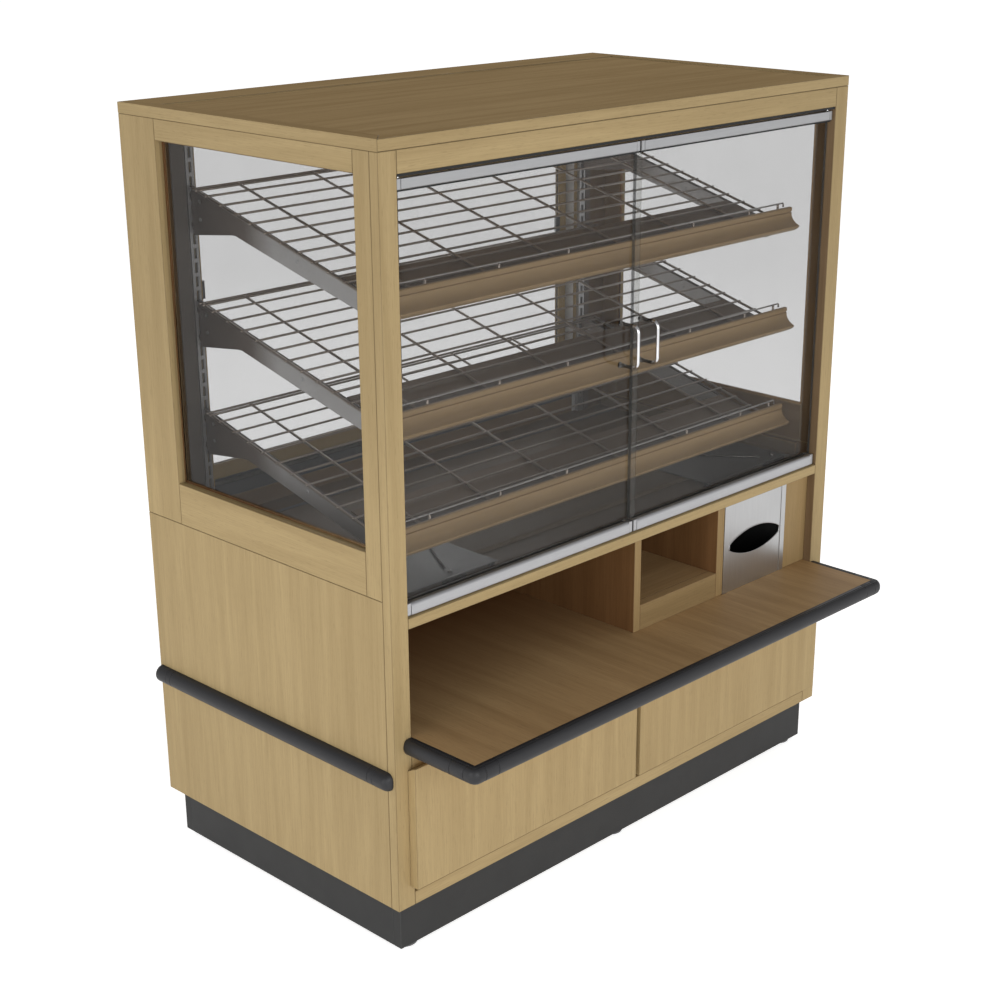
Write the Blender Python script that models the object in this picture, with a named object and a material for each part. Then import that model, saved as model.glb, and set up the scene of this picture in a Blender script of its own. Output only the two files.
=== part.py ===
"""Self-serve bakery display case, built as separate named sub-parts.

Lengths below are inches and become metres through INCH.  X runs left to right along the
front, Y runs from the front (0) to the rear (DEPTH), Z runs up from the underside of the
wooden case.  to_world() moves that corner so that the part's origin lies on the floor
under the middle of the whole outline, counter included.
"""
import math

import bmesh
import bpy
from mathutils import Matrix, Vector

INCH = 0.0254
GAP = 0.012

# Case
WIDTH = 48.0
DEPTH = 26.3
CASE_TOP = 52.0
FLOOR = -4.0
BOARD = 0.75
TOP_UNDER = CASE_TOP - BOARD
POST = 1.5
STILE_FRONT = 2.25
STILE_REAR = 22.28
SIDE_SPLIT = 22.65
SILL = 25.7
HEAD = 49.8
RIM = 1.25
RIM_REAR = 23.0
BACK_Y = 25.5

# Kick and feet
KICK_BOTTOM = -3.6
KICK_INSET = 0.75
FOOT_X = (2.1, 24.0, 45.9)
FOOT_Y = (1.95, 24.35)
FOOT_RADIUS = 1.1
STEM_RADIUS = 0.22
COLLAR_RADIUS = 0.4
BLOCK_BOTTOM = -1.7

# Counter, bumpers and drawers
COUNTER_TOP = 12.8
COUNTER_THICK = 1.25
COUNTER_FRONT = -6.0
BUMPER_OUT = 0.75
MIDDLE_Y = (COUNTER_FRONT - BUMPER_OUT + DEPTH) / 2
SIDE_BUMPER_Z = 9.8
SIDE_BUMPER_R = 0.75
DRAWER_BOTTOM = 1.6
DRAWER_TOP = 10.75
DRAWER_GAP = 0.4
DRAWER_RAIL = (9.95, 11.538)

# Display
DECK_UNDER = 20.5
DECK_FRONT = 21.25
DECK_TOP = 21.55
DECK_STEP_Y = 5.1
GLASS = 0.2

# Shelves: wire centre height is SHELF_Z at SHELF_Y and falls to the front by SHELF_SLOPE
SHELF_Y = 22.5
SHELF_Z = 46.05
SHELF_SLOPE = 0.268
SHELF_PITCH = 8.0
SHELF_X = (3.3, 44.7)
SHELF_BARS = (3.3, 7.0, 13.75, 20.6, 27.4, 34.25, 41.0, 44.7)
SHELF_ROD_Y0 = 3.97
SHELF_ROD_PITCH = 1.58
SHELF_FRONT = 3.62
PAN_UNDER = 0.15
PAN_REAR = 8.2
STANDARD_X = (3.8, 44.2)
STANDARD_Y = 23.8
STANDARD_DEPTH = 0.37

# Doors
DOOR_X = (1.65, 23.93)
DOOR_PIVOT = (1.97, 0.48)
RAIL_Y = (0.2, 1.0)
DOOR_GLASS_Y = 0.6
HANDLE_X = 22.95
HANDLE_Z = (33.95, 36.95)


def to_world(x, y, z):
    return Vector(((x - WIDTH / 2) * INCH, (y - MIDDLE_Y) * INCH, (z - FLOOR) * INCH))


def clear_scene():
    for item in list(bpy.data.objects):
        bpy.data.objects.remove(item, do_unlink=True)


def material(name, colour, roughness, metallic=0.0, alpha=1.0):
    made = bpy.data.materials.new(name)
    made.use_nodes = True
    shader = made.node_tree.nodes["Principled BSDF"]
    shader.inputs["Base Color"].default_value = (*colour, 1.0)
    shader.inputs["Roughness"].default_value = roughness
    shader.inputs["Metallic"].default_value = metallic
    shader.inputs["Alpha"].default_value = alpha
    return made


def box_mesh(bm, x, y, z):
    low = to_world(x[0], y[0], z[0])
    high = to_world(x[1], y[1], z[1])
    made = bmesh.ops.create_cube(bm, size=1.0)
    size = Matrix.Diagonal((*(high - low), 1.0))
    place = Matrix.Translation((low + high) / 2)
    bmesh.ops.transform(bm, matrix=place @ size, verts=made["verts"])


def rod_mesh(bm, start, end, radius, sides):
    a = to_world(*start)
    b = to_world(*end)
    axis = b - a
    place = Matrix.Translation((a + b) / 2) @ axis.to_track_quat("Z", "Y").to_matrix().to_4x4()
    bmesh.ops.create_cone(
        bm, cap_ends=True, segments=sides, radius1=radius * INCH, radius2=radius * INCH,
        depth=axis.length, matrix=place,
    )


def prism_mesh(bm, outline, x):
    """Extrude a closed (y, z) outline along X."""
    near = [bm.verts.new(to_world(x[0], y, z)) for y, z in outline]
    far = [bm.verts.new(to_world(x[1], y, z)) for y, z in outline]
    bm.faces.new(near)
    bm.faces.new(list(reversed(far)))
    count = len(outline)
    for i in range(count):
        j = (i + 1) % count
        bm.faces.new((near[i], far[i], far[j], near[j]))


def sweep_mesh(bm, rings):
    """Skin a list of closed point rings and cap both ends."""
    loops = [[bm.verts.new(to_world(*p)) for p in ring] for ring in rings]
    count = len(loops[0])
    for first, second in zip(loops, loops[1:]):
        for i in range(count):
            j = (i + 1) % count
            bm.faces.new((first[i], second[i], second[j], first[j]))
    bm.faces.new(loops[0])
    bm.faces.new(list(reversed(loops[-1])))


def new_object(name, bm, look=None, smooth=False):
    bmesh.ops.remove_doubles(bm, verts=bm.verts, dist=1e-6)
    bmesh.ops.recalc_face_normals(bm, faces=bm.faces)
    mesh = bpy.data.meshes.new(name)
    bm.to_mesh(mesh)
    bm.free()
    item = bpy.data.objects.new(name, mesh)
    bpy.context.scene.collection.objects.link(item)
    if look:
        mesh.materials.append(look)
    if smooth:
        mesh.set_sharp_from_angle(angle=math.radians(35))
    return item


def shape(*parts):
    """One bmesh from (builder, arguments...) tuples."""
    bm = bmesh.new()
    for builder, *arguments in parts:
        builder(bm, *arguments)
    return bm


def combine(item, bm, operation):
    """Apply one exact Boolean of bm to the object's mesh."""
    cutter = new_object(item.name + "_tool", bm)
    cutter.hide_render = True
    cutter.display_type = "WIRE"
    step = item.modifiers.new("step", "BOOLEAN")
    step.operation = operation
    step.solver = "EXACT"
    step.object = cutter
    graph = bpy.context.evaluated_depsgraph_get()
    done = bpy.data.meshes.new_from_object(item.evaluated_get(graph))
    item.modifiers.clear()
    old = item.data
    item.data = done
    done.name = item.name
    bpy.data.meshes.remove(old)
    tool_mesh = cutter.data
    bpy.data.objects.remove(cutter, do_unlink=True)
    bpy.data.meshes.remove(tool_mesh)
    return item


def cut(item, *parts):
    return combine(item, shape(*parts), "DIFFERENCE")


def join(item, *parts):
    return combine(item, shape(*parts), "UNION")


def soften(item, width=0.04):
    edge = item.modifiers.new("edge", "BEVEL")
    edge.width = width * INCH
    edge.segments = 1
    edge.limit_method = "ANGLE"
    edge.angle_limit = math.radians(40)
    return item


def board(name, x, y, z, look, edge=0.04):
    item = new_object(name, shape((box_mesh, x, y, z)), look)
    if edge:
        soften(item, edge)
    return item


def set_pivot(item, x, y, z):
    """Put the object's origin on its joint axis without moving its surface."""
    point = to_world(x, y, z)
    item.data.transform(Matrix.Translation(-point))
    item.location = point


def mirror_x(values):
    return (WIDTH - values[1], WIDTH - values[0])


def side_x(side, low, high):
    """X span on the left side, or its mirror on the right side."""
    return (low, high) if side == "left" else mirror_x((low, high))


# ---------------------------------------------------------------- base

def build_kick(look):
    x = (KICK_INSET, WIDTH - KICK_INSET)
    y = (KICK_INSET, DEPTH - KICK_INSET)
    z = (KICK_BOTTOM, -GAP)
    kick = new_object("kick_base", shape((box_mesh, x, y, z)), look)
    inner_x = (x[0] + BOARD, x[1] - BOARD)
    inner_y = (y[0] + BOARD, y[1] - BOARD)
    cut(kick, (box_mesh, inner_x, inner_y, (z[0] - 1, z[1] + 1)))
    block_z = (BLOCK_BOTTOM, -0.1)
    for foot_x in FOOT_X:
        for foot_y in FOOT_Y:
            block_x = (foot_x - 0.9, foot_x + 0.9)
            block_y = (foot_y - 0.8, foot_y + 0.8)
            join(kick, (box_mesh, block_x, block_y, block_z))
    hole = STEM_RADIUS + 0.02
    for foot_x in FOOT_X:
        for foot_y in FOOT_Y:
            cut(kick, (rod_mesh, (foot_x, foot_y, -2.5), (foot_x, foot_y, 0.5), hole, 16))


def build_feet(look):
    number = 0
    for foot_y in FOOT_Y:
        for foot_x in FOOT_X:
            number += 1
            pad_top = FLOOR + 0.22
            foot = new_object(
                f"leveller_{number}",
                shape((rod_mesh, (foot_x, foot_y, FLOOR), (foot_x, foot_y, pad_top), FOOT_RADIUS, 24)),
                look, True,
            )
            stem_low = (foot_x, foot_y, pad_top - 0.1)
            stem_high = (foot_x, foot_y, -0.35)
            join(foot, (rod_mesh, stem_low, stem_high, STEM_RADIUS, 16))
            collar_low = (foot_x, foot_y, pad_top - 0.05)
            collar_high = (foot_x, foot_y, BLOCK_BOTTOM - GAP)
            join(foot, (rod_mesh, collar_low, collar_high, COLLAR_RADIUS, 6))
            set_pivot(foot, foot_x, foot_y, FLOOR)


# ---------------------------------------------------------------- wooden case

def build_side_panels(look):
    for side in ("left", "right"):
        x = side_x(side, 0.0, BOARD)
        z = (0.0, SIDE_SPLIT - GAP)
        panel = board(f"side_panel_{side}", x, (BOARD + GAP, DEPTH), z, look, 0)
        runner_x = side_x(side, BOARD - 0.1, 2.6)
        join(panel, (box_mesh, runner_x, (1.2, 22.0), (1.05, 1.6)))
        soften(panel, 0.03)


def build_face_frame(look):
    frame = board("face_frame", (0.0, WIDTH), (0.0, BOARD), (0.0, TOP_UNDER - GAP), look, 0)
    open_x = (POST, WIDTH - POST)
    cut(frame, (box_mesh, open_x, (-1.0, 2.0), (1.0, DRAWER_RAIL[0])))
    cut(frame, (box_mesh, open_x, (-1.0, 2.0), (DRAWER_RAIL[1], HEAD)))
    soften(frame, 0.03)
    for pivot_x in (DOOR_PIVOT[0], WIDTH - DOOR_PIVOT[0]):
        low = (pivot_x, DOOR_PIVOT[1], HEAD - 0.3)
        high = (pivot_x, DOOR_PIVOT[1], HEAD + 0.4)
        cut(frame, (rod_mesh, low, high, 0.14, 16))


def glass_span():
    return (STILE_FRONT - 0.22, STILE_REAR + 0.22), (SILL - 0.22, HEAD + 0.22)


def build_side_frames(look):
    span_y, span_z = glass_span()
    for side in ("left", "right"):
        x = side_x(side, 0.0, BOARD)
        wide = side_x(side, -1.0, 2.0)
        frame = board(f"side_frame_{side}", x, (BOARD + GAP, DEPTH),
                      (SIDE_SPLIT, TOP_UNDER - GAP), look, 0)
        cut(frame, (box_mesh, wide, (STILE_FRONT, STILE_REAR), (SILL, HEAD)))
        soften(frame, 0.03)
        slot_x = side_x(side, 0.36 - GAP, 0.56 + GAP)
        slot_y = (span_y[0] - GAP, span_y[1] + GAP)
        slot_z = (span_z[0] - GAP, span_z[1] + GAP)
        cut(frame, (box_mesh, slot_x, slot_y, slot_z))


def build_side_glass(look):
    span_y, span_z = glass_span()
    for side in ("left", "right"):
        board(f"side_glass_{side}", side_x(side, 0.36, 0.56), span_y, span_z, look, 0)


def build_top(look):
    z = (TOP_UNDER, CASE_TOP)
    rim = board("top_rim", (0.0, WIDTH), (0.0, DEPTH), z, look, 0)
    inner_x = (RIM, WIDTH - RIM)
    inner_y = (RIM, RIM_REAR)
    cut(rim, (box_mesh, inner_x, inner_y, (z[0] - 1, z[1] + 1)))
    soften(rim, 0.05)
    panel_x = (inner_x[0] + 0.03, inner_x[1] - 0.03)
    panel_y = (inner_y[0] + 0.03, inner_y[1] - 0.03)
    board("top_panel", panel_x, panel_y, (z[0], z[1] - 0.08), look, 0.03)


def build_bottom_and_back(look):
    inner_x = (BOARD + GAP, WIDTH - BOARD - GAP)
    board("bottom_panel", inner_x, (BOARD + GAP, BACK_Y - GAP), (0.0, BOARD), look)
    board("back_panel", inner_x, (BACK_Y, DEPTH - 0.03), (0.0, DECK_TOP - GAP), look)
    mid = WIDTH / 2
    wall_z = (BOARD + GAP, COUNTER_TOP - COUNTER_THICK - GAP)
    wall = board("centre_partition", (mid - 0.38, mid + 0.38), (BOARD + GAP, BACK_Y - GAP),
                 wall_z, look, 0)
    join(wall, (box_mesh, (mid - 1.4, mid + 1.4), (1.2, 22.0), (1.05, 1.6)))
    soften(wall, 0.03)


def build_deck(look):
    inner_x = (BOARD + GAP, WIDTH - BOARD - GAP)
    deck = board("display_deck", inner_x, (0.0, BACK_Y - GAP), (DECK_UNDER, DECK_TOP), look, 0)
    for side in ("left", "right"):
        notch = side_x(side, -1.0, POST + GAP)
        cut(deck, (box_mesh, notch, (-1.0, BOARD + GAP), (DECK_UNDER - 1, DECK_TOP + 1)))
    cut(deck, (box_mesh, (-1.0, WIDTH + 1), (-1.0, DECK_STEP_Y), (DECK_FRONT, DECK_TOP + 1)))
    soften(deck, 0.04)
    for pivot_x in (DOOR_PIVOT[0], WIDTH - DOOR_PIVOT[0]):
        low = (pivot_x, DOOR_PIVOT[1], DECK_FRONT - 0.4)
        high = (pivot_x, DOOR_PIVOT[1], DECK_FRONT + 0.3)
        cut(deck, (rod_mesh, low, high, 0.14, 16))


# ---------------------------------------------------------------- counter and bumpers

def build_counter(look):
    z = (COUNTER_TOP - COUNTER_THICK, COUNTER_TOP)
    counter = board("counter_top", (BOARD + GAP, WIDTH - BOARD - GAP),
                    (COUNTER_FRONT, BACK_Y - GAP), z, look, 0)
    for side in ("left", "right"):
        notch = side_x(side, -1.0, POST + GAP)
        cut(counter, (box_mesh, notch, (-9.0, BOARD + GAP), (z[0] - 1, z[1] + 1)))
    soften(counter, 0.03)


def bumper_profile(steps=8):
    """(outward, z) points of the counter bumper: flat lip, then a half-round nose."""
    top = COUNTER_TOP
    bottom = COUNTER_TOP - COUNTER_THICK
    mid = (top + bottom) / 2
    half = (top - bottom) / 2
    lip = 0.34
    points = [(GAP, bottom), (GAP, top)]
    for i in range(steps + 1):
        angle = math.pi / 2 - math.pi * i / steps
        out = lip + (BUMPER_OUT - lip) * math.cos(angle)
        points.append((out, mid + half * math.sin(angle)))
    return points


def build_counter_bumper(look):
    profile = bumper_profile()
    left = POST
    front = COUNTER_FRONT
    start = -GAP
    rings = []
    ends = ((0.0, 0.8), (0.06, 0.9), (0.15, 0.97), (0.3, 1.0))
    for along, grow in ends:
        rings.append([(left - out * grow, start - along, z) for out, z in profile])
    steps = 6
    for k in range(steps + 1):
        angle = (math.pi / 2) * k / steps
        ring = []
        for out, z in profile:
            radius = max(out - 0.34, 0.0) + 0.02
            inset = out - radius
            x = left - inset - radius * math.cos(angle)
            y = front - inset - radius * math.sin(angle)
            ring.append((x, y, z))
        rings.append(ring)
    mirrored = [[(WIDTH - x, y, z) for x, y, z in ring] for ring in reversed(rings)]
    new_object("counter_bumper", shape((sweep_mesh, rings + mirrored)), look, True)


def build_side_bumpers(look):
    steps = 10
    profile = [(GAP, SIDE_BUMPER_Z - SIDE_BUMPER_R), (GAP, SIDE_BUMPER_Z + SIDE_BUMPER_R)]
    for i in range(1, steps):
        angle = math.pi / 2 - math.pi * i / steps
        out = GAP + (SIDE_BUMPER_R - GAP) * math.cos(angle)
        profile.append((out, SIDE_BUMPER_Z + SIDE_BUMPER_R * math.sin(angle)))
    front_end = ((0.2, 0.45), (0.28, 0.75), (0.42, 0.92), (0.62, 1.0))
    rear_end = ((0.02, 0.55), (0.08, 0.82), (0.2, 0.95), (0.4, 1.0))
    path = list(front_end) + [(DEPTH - y, grow) for y, grow in reversed(rear_end)]
    for side in ("left", "right"):
        rings = []
        for y, grow in path:
            ring = []
            for out, z in profile:
                x = -out * grow if out > GAP else -GAP
                x = x if side == "left" else WIDTH - x
                ring.append((x, y, SIDE_BUMPER_Z + (z - SIDE_BUMPER_Z) * (0.5 + 0.5 * grow)))
            rings.append(ring)
        new_object(f"side_bumper_{side}", shape((sweep_mesh, rings)), look, True)


# ---------------------------------------------------------------- drawers

def build_drawers(front_look, box_look):
    mid = WIDTH / 2
    for side in ("left", "right"):
        x = side_x(side, 1.1, mid - DRAWER_GAP / 2)
        bevel = ((-BOARD, DRAWER_BOTTOM), (-GAP, DRAWER_BOTTOM), (-GAP, DRAWER_TOP - 0.35),
                 (-BOARD + 0.12, DRAWER_TOP), (-BOARD, DRAWER_TOP))
        front = new_object(f"drawer_front_{side}", shape((prism_mesh, bevel, x)), front_look)
        soften(front, 0.03)
        box_x = side_x(side, 1.75, mid - 0.55)
        box = new_object(f"drawer_box_{side}",
                         shape((box_mesh, box_x, (0.0, 19.0), (1.65, 9.8))), box_look)
        inner = (box_x[0] + 0.5, box_x[1] - 0.5)
        cut(box, (box_mesh, inner, (0.5, 18.5), (2.05, 12.0)))


# ---------------------------------------------------------------- recess fittings

def build_cubby(look):
    z = (COUNTER_TOP + GAP, DECK_UNDER - GAP)
    y = (BOARD, 18.0)
    cubby = board("cubby_box", (24.9, 35.65), y, z, look, 0)
    cut(cubby, (box_mesh, (25.65, 34.8), (0.0, 17.25), (14.85, 21.5)))
    cut(cubby, (box_mesh, (25.65, 34.8), (1.5, 17.25), (12.0, 14.1)))
    soften(cubby, 0.03)


def lens_mesh(bm, centre_x, centre_z, half_width, half_height, end_height, y, steps=10):
    """Eye-shaped prism along Y, cut off square at both ends."""
    drop = half_height - end_height
    radius = (half_width ** 2 + drop ** 2) / (2 * drop)
    outline = []
    for sign in (1, -1):
        for i in range(steps + 1):
            x = -half_width + 2 * half_width * i / steps
            x = x * sign
            rise = math.sqrt(radius ** 2 - x ** 2) - (radius - half_height)
            outline.append((centre_x + x, centre_z + sign * rise))
    near = [bm.verts.new(to_world(x, y[0], z)) for x, z in outline]
    far = [bm.verts.new(to_world(x, y[1], z)) for x, z in outline]
    bm.faces.new(near)
    bm.faces.new(list(reversed(far)))
    count = len(outline)
    for i in range(count):
        j = (i + 1) % count
        bm.faces.new((near[i], far[i], far[j], near[j]))


def build_dispenser(steel):
    x = (35.65 + GAP, 43.6 - GAP)
    z = (COUNTER_TOP + GAP, DECK_UNDER - GAP)
    unit = new_object("dispenser", shape((box_mesh, x, (BOARD, BOARD + 0.07), z)), steel)
    join(unit, (box_mesh, (x[0] + 0.4, x[1] - 0.4), (BOARD + 0.04, 8.0), (z[0] + 0.5, z[1] - 0.5)))
    cut(unit, (box_mesh, (x[0] + 0.47, x[1] - 0.47), (BOARD + 0.07, 7.93),
               (z[0] + 0.57, z[1] - 0.57)))
    middle = (x[0] + x[1]) / 2
    cut(unit, (lens_mesh, middle, 16.55, 3.25, 1.08, 0.28, (0.0, 2.0)))


def build_filler(look):
    z = (COUNTER_TOP + GAP, DECK_UNDER - GAP)
    board("filler_panel", (43.6, 46.5 + BOARD - GAP), (BOARD + GAP, BOARD * 2), z, look, 0.03)


# ---------------------------------------------------------------- shelves

def wire_z(y, level=0):
    return SHELF_Z + SHELF_SLOPE * (y - SHELF_Y) - level * SHELF_PITCH


def shelf_grid_object(name, look):
    rods = []
    rod_rows = 12
    low_x = SHELF_X[0] - 0.22
    high_x = SHELF_X[1] + 0.22
    rod_y = [SHELF_ROD_Y0 + SHELF_ROD_PITCH * i for i in range(rod_rows)]
    rod_y += [SHELF_Y - 0.1, SHELF_Y + 0.22]
    for y in rod_y:
        z = wire_z(y) + 0.04
        rods.append((rod_mesh, (low_x, y, z), (high_x, y, z), 0.08, 4))
    bars = []
    rear = SHELF_Y + 0.32
    for x in SHELF_BARS:
        start = (x, SHELF_FRONT, wire_z(SHELF_FRONT))
        end = (x, rear, wire_z(rear))
        bars.append((rod_mesh, start, end, 0.1, 6))
    grid = new_object(name, shape(*rods), look)
    join(grid, *bars)
    fence_y = SHELF_FRONT + 0.06
    fence_z = 42.2
    stops = [(rod_mesh, (x, fence_y, wire_z(fence_y)), (x, fence_y, fence_z), 0.06, 6)
             for x in SHELF_BARS]
    join(grid, *stops)
    ends = (SHELF_X[0] - 0.7, SHELF_X[1] + 0.7)
    rail = (rod_mesh, (ends[0] - 0.07, fence_y, fence_z), (ends[1] + 0.07, fence_y, fence_z), 0.075, 6)
    posts = [(rod_mesh, (x, fence_y, 41.89), (x, fence_y, fence_z), 0.06, 6) for x in ends]
    join(grid, rail)
    join(grid, *posts)
    grid.data.set_sharp_from_angle(angle=math.radians(65))
    return grid


def bracket_object(name, x, look):
    under = 0.2
    rear = STANDARD_Y - 0.03
    front = SHELF_FRONT + 0.12

    def top(y):
        return wire_z(y) - under

    outline = ((rear, top(rear)), (front, top(front)), (front, top(front) - 1.0),
               (front + 0.6, top(front + 0.6) - 1.42), (19.15, top(19.15) - 1.62),
               (rear, top(rear) - 3.5))
    bracket = new_object(name, shape((prism_mesh, outline, (x - 0.05, x + 0.05))), look)
    flange_outline = ((rear, top(rear)), (front, top(front)), (front, top(front) - 0.09),
                      (rear, top(rear) - 0.09))
    join(bracket, (prism_mesh, flange_outline, (x - 0.14, x + 0.14)))
    for slot in (0, 2):
        z = slot_centres()[21 + slot]
        join(bracket, (box_mesh, (x - 0.045, x + 0.045), (rear - 0.2, STANDARD_Y + 0.2),
                       (z - 0.3, z + 0.25)))
    return bracket


def cove_outline():
    return ((3.3, 41.87), (3.24, 41.47), (3.28, 41.42), (3.2, 41.15), (2.98, 40.85),
            (2.72, 40.62), (2.47, 40.47), (2.52, 40.36), (2.96, 40.06), (3.56, 40.2),
            (3.56, 41.87))


def pan_outline():
    """Thin support sheet that runs back from the moulding, close under the wires."""
    thick = 0.07
    start = (3.4, wire_z(3.4) - PAN_UNDER)
    end = (PAN_REAR, wire_z(PAN_REAR) - PAN_UNDER)
    return (start, end, (end[0], end[1] - 0.4), (end[0] - thick, end[1] - 0.4),
            (end[0] - thick, end[1] - thick), (start[0], start[1] - thick))


def build_shelves(wire, plate, wood):
    first_grid = shelf_grid_object("shelf_grid_1", wire)
    first_brackets = [bracket_object(f"shelf_bracket_{side}_1", x, plate)
                      for side, x in zip(("left", "right"), STANDARD_X)]
    first_cove = new_object("price_moulding_1", shape((prism_mesh, cove_outline(), (2.0, 46.0))),
                            wood, True)
    pan_x = (STANDARD_X[0] + 0.16, STANDARD_X[1] - 0.16)
    join(first_cove, (prism_mesh, pan_outline(), pan_x))
    for item in [first_grid, first_cove] + first_brackets:
        for level in (1, 2):
            copy = bpy.data.objects.new(item.name[:-1] + str(level + 1), item.data)
            copy.location = (0.0, 0.0, -level * SHELF_PITCH * INCH)
            bpy.context.scene.collection.objects.link(copy)


def slot_centres():
    return [22.45 + i for i in range(28)]


def build_standards(look):
    for side, x in zip(("left", "right"), STANDARD_X):
        z = (DECK_TOP + GAP, HEAD - 0.2)
        span_x = (x - 0.325, x + 0.325)
        span_y = (STANDARD_Y, STANDARD_Y + STANDARD_DEPTH)
        strip = new_object(f"standard_{side}", shape((box_mesh, span_x, span_y, z)), look)
        hollow_x = (span_x[0] + 0.08, span_x[1] - 0.08)
        cut(strip, (box_mesh, hollow_x, (span_y[0] + 0.08, span_y[1] + 0.5), (z[0] - 1, z[1] + 1)))
        slots = [(box_mesh, (x - 0.14, x + 0.14), (span_y[0] - 0.5, span_y[0] + 0.2),
                  (c - 0.36, c + 0.36)) for c in slot_centres() if c + 0.4 < z[1]]
        cut(strip, *slots)


# ---------------------------------------------------------------- glass doors

def build_doors(glass, metal, chrome):
    for side in ("left", "right"):
        pivot_x = DOOR_PIVOT[0] if side == "left" else WIDTH - DOOR_PIVOT[0]
        x = side_x(side, *DOOR_X)
        pane = board(f"door_glass_{side}", x, (DOOR_GLASS_Y, DOOR_GLASS_Y + GLASS),
                     (21.75, 49.3), glass, 0)
        low_rail(f"door_rail_bottom_{side}", x, pivot_x, metal)
        top_rail(f"door_rail_top_{side}", x, pivot_x, metal)
        grip = handle_object(f"door_handle_{side}",
                             HANDLE_X if side == "left" else WIDTH - HANDLE_X, chrome)
        pieces = (pane, grip, bpy.data.objects[f"door_rail_bottom_{side}"],
                  bpy.data.objects[f"door_rail_top_{side}"])
        for item in pieces:
            set_pivot(item, pivot_x, DOOR_PIVOT[1], DECK_FRONT)


def pane_slot(z):
    return (-1.0, WIDTH + 1.0), (DOOR_GLASS_Y - GAP, DOOR_GLASS_Y + GLASS + GAP), z


def low_rail(name, x, pivot_x, look):
    low = DECK_FRONT + 0.06
    outline = ((RAIL_Y[0], low), (RAIL_Y[1], low), (RAIL_Y[1], 22.2), (DOOR_GLASS_Y - 0.06, 22.2),
               (RAIL_Y[0] + 0.12, 22.08), (RAIL_Y[0], 21.9))
    rail = new_object(name, shape((prism_mesh, outline, x)), look)
    cut(rail, (box_mesh, *pane_slot((21.75 - GAP, 23.0))))
    join(rail, (rod_mesh, (pivot_x, DOOR_PIVOT[1], DECK_FRONT - 0.3),
                (pivot_x, DOOR_PIVOT[1], low + 0.2), 0.12, 16))


def top_rail(name, x, pivot_x, look):
    high = 49.6
    rail = new_object(name, shape((box_mesh, x, RAIL_Y, (48.8, high))), look)
    cut(rail, (box_mesh, *pane_slot((48.0, 49.3 + GAP))))
    join(rail, (rod_mesh, (pivot_x, DOOR_PIVOT[1], high - 0.15),
                (pivot_x, DOOR_PIVOT[1], HEAD + 0.3), 0.12, 16))


def handle_object(name, x, look):
    path = bpy.data.curves.new(name, "CURVE")
    path.dimensions = "3D"
    path.bevel_depth = 0.14 * INCH
    path.bevel_resolution = 3
    path.use_fill_caps = True
    reach = -0.8
    base = DOOR_GLASS_Y - GAP
    bend = 0.45
    low, high = HANDLE_Z
    points = [(x, base, low), (x, reach + bend, low)]
    points += arc_points(x, reach + bend, low + bend, bend, -math.pi / 2, -math.pi, 6)
    points += arc_points(x, reach + bend, high - bend, bend, math.pi, math.pi / 2, 6)
    points += [(x, base, high)]
    spline = path.splines.new("POLY")
    spline.points.add(len(points) - 1)
    for target, point in zip(spline.points, points):
        target.co = (*to_world(*point), 1.0)
    curve = bpy.data.objects.new(name, path)
    bpy.context.scene.collection.objects.link(curve)
    graph = bpy.context.evaluated_depsgraph_get()
    mesh = bpy.data.meshes.new_from_object(curve.evaluated_get(graph))
    bpy.data.objects.remove(curve, do_unlink=True)
    bpy.data.curves.remove(path)
    item = bpy.data.objects.new(name, mesh)
    bpy.context.scene.collection.objects.link(item)
    mesh.materials.clear()
    mesh.materials.append(look)
    for z in (low, high):
        join(item, (rod_mesh, (x, base, z), (x, base - 0.1, z), 0.26, 16))
    item.data.set_sharp_from_angle(angle=math.radians(40))
    return item


def arc_points(x, y, z, radius, start, end, steps):
    made = []
    for i in range(steps + 1):
        angle = start + (end - start) * i / steps
        made.append((x, y + radius * math.cos(angle), z + radius * math.sin(angle)))
    return made


# ---------------------------------------------------------------- rear of the display

REAR_OPENING = (4.5, 43.5)
REAR_SILL = 23.9


def build_rear_frame(look):
    x = (BOARD + GAP, WIDTH - BOARD - GAP)
    y = (STANDARD_Y + STANDARD_DEPTH + GAP, DEPTH - 0.03)
    frame = new_object("rear_frame", shape((box_mesh, x, y, (DECK_TOP + GAP, TOP_UNDER - GAP))),
                       look)
    cut(frame, (box_mesh, REAR_OPENING, (20.0, 30.0), (REAR_SILL, HEAD - 0.2)))
    for side in ("left", "right"):
        facing = side_x(side, BOARD + GAP, 3.35)
        join(frame, (box_mesh, facing, (23.9, y[0] + 0.2), (DECK_TOP + GAP, TOP_UNDER - GAP)))
    soften(frame, 0.03)
    for channel_y in ((25.0, 25.58), (25.66, 26.24)):
        cut(frame, (box_mesh, (REAR_OPENING[0] - 0.01, REAR_OPENING[1] + 0.01), channel_y,
                    (REAR_SILL - 0.3, REAR_SILL + 0.1)))
        cut(frame, (box_mesh, (REAR_OPENING[0] - 0.01, REAR_OPENING[1] + 0.01), channel_y,
                    (HEAD - 0.3, HEAD + 0.3)))


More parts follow.
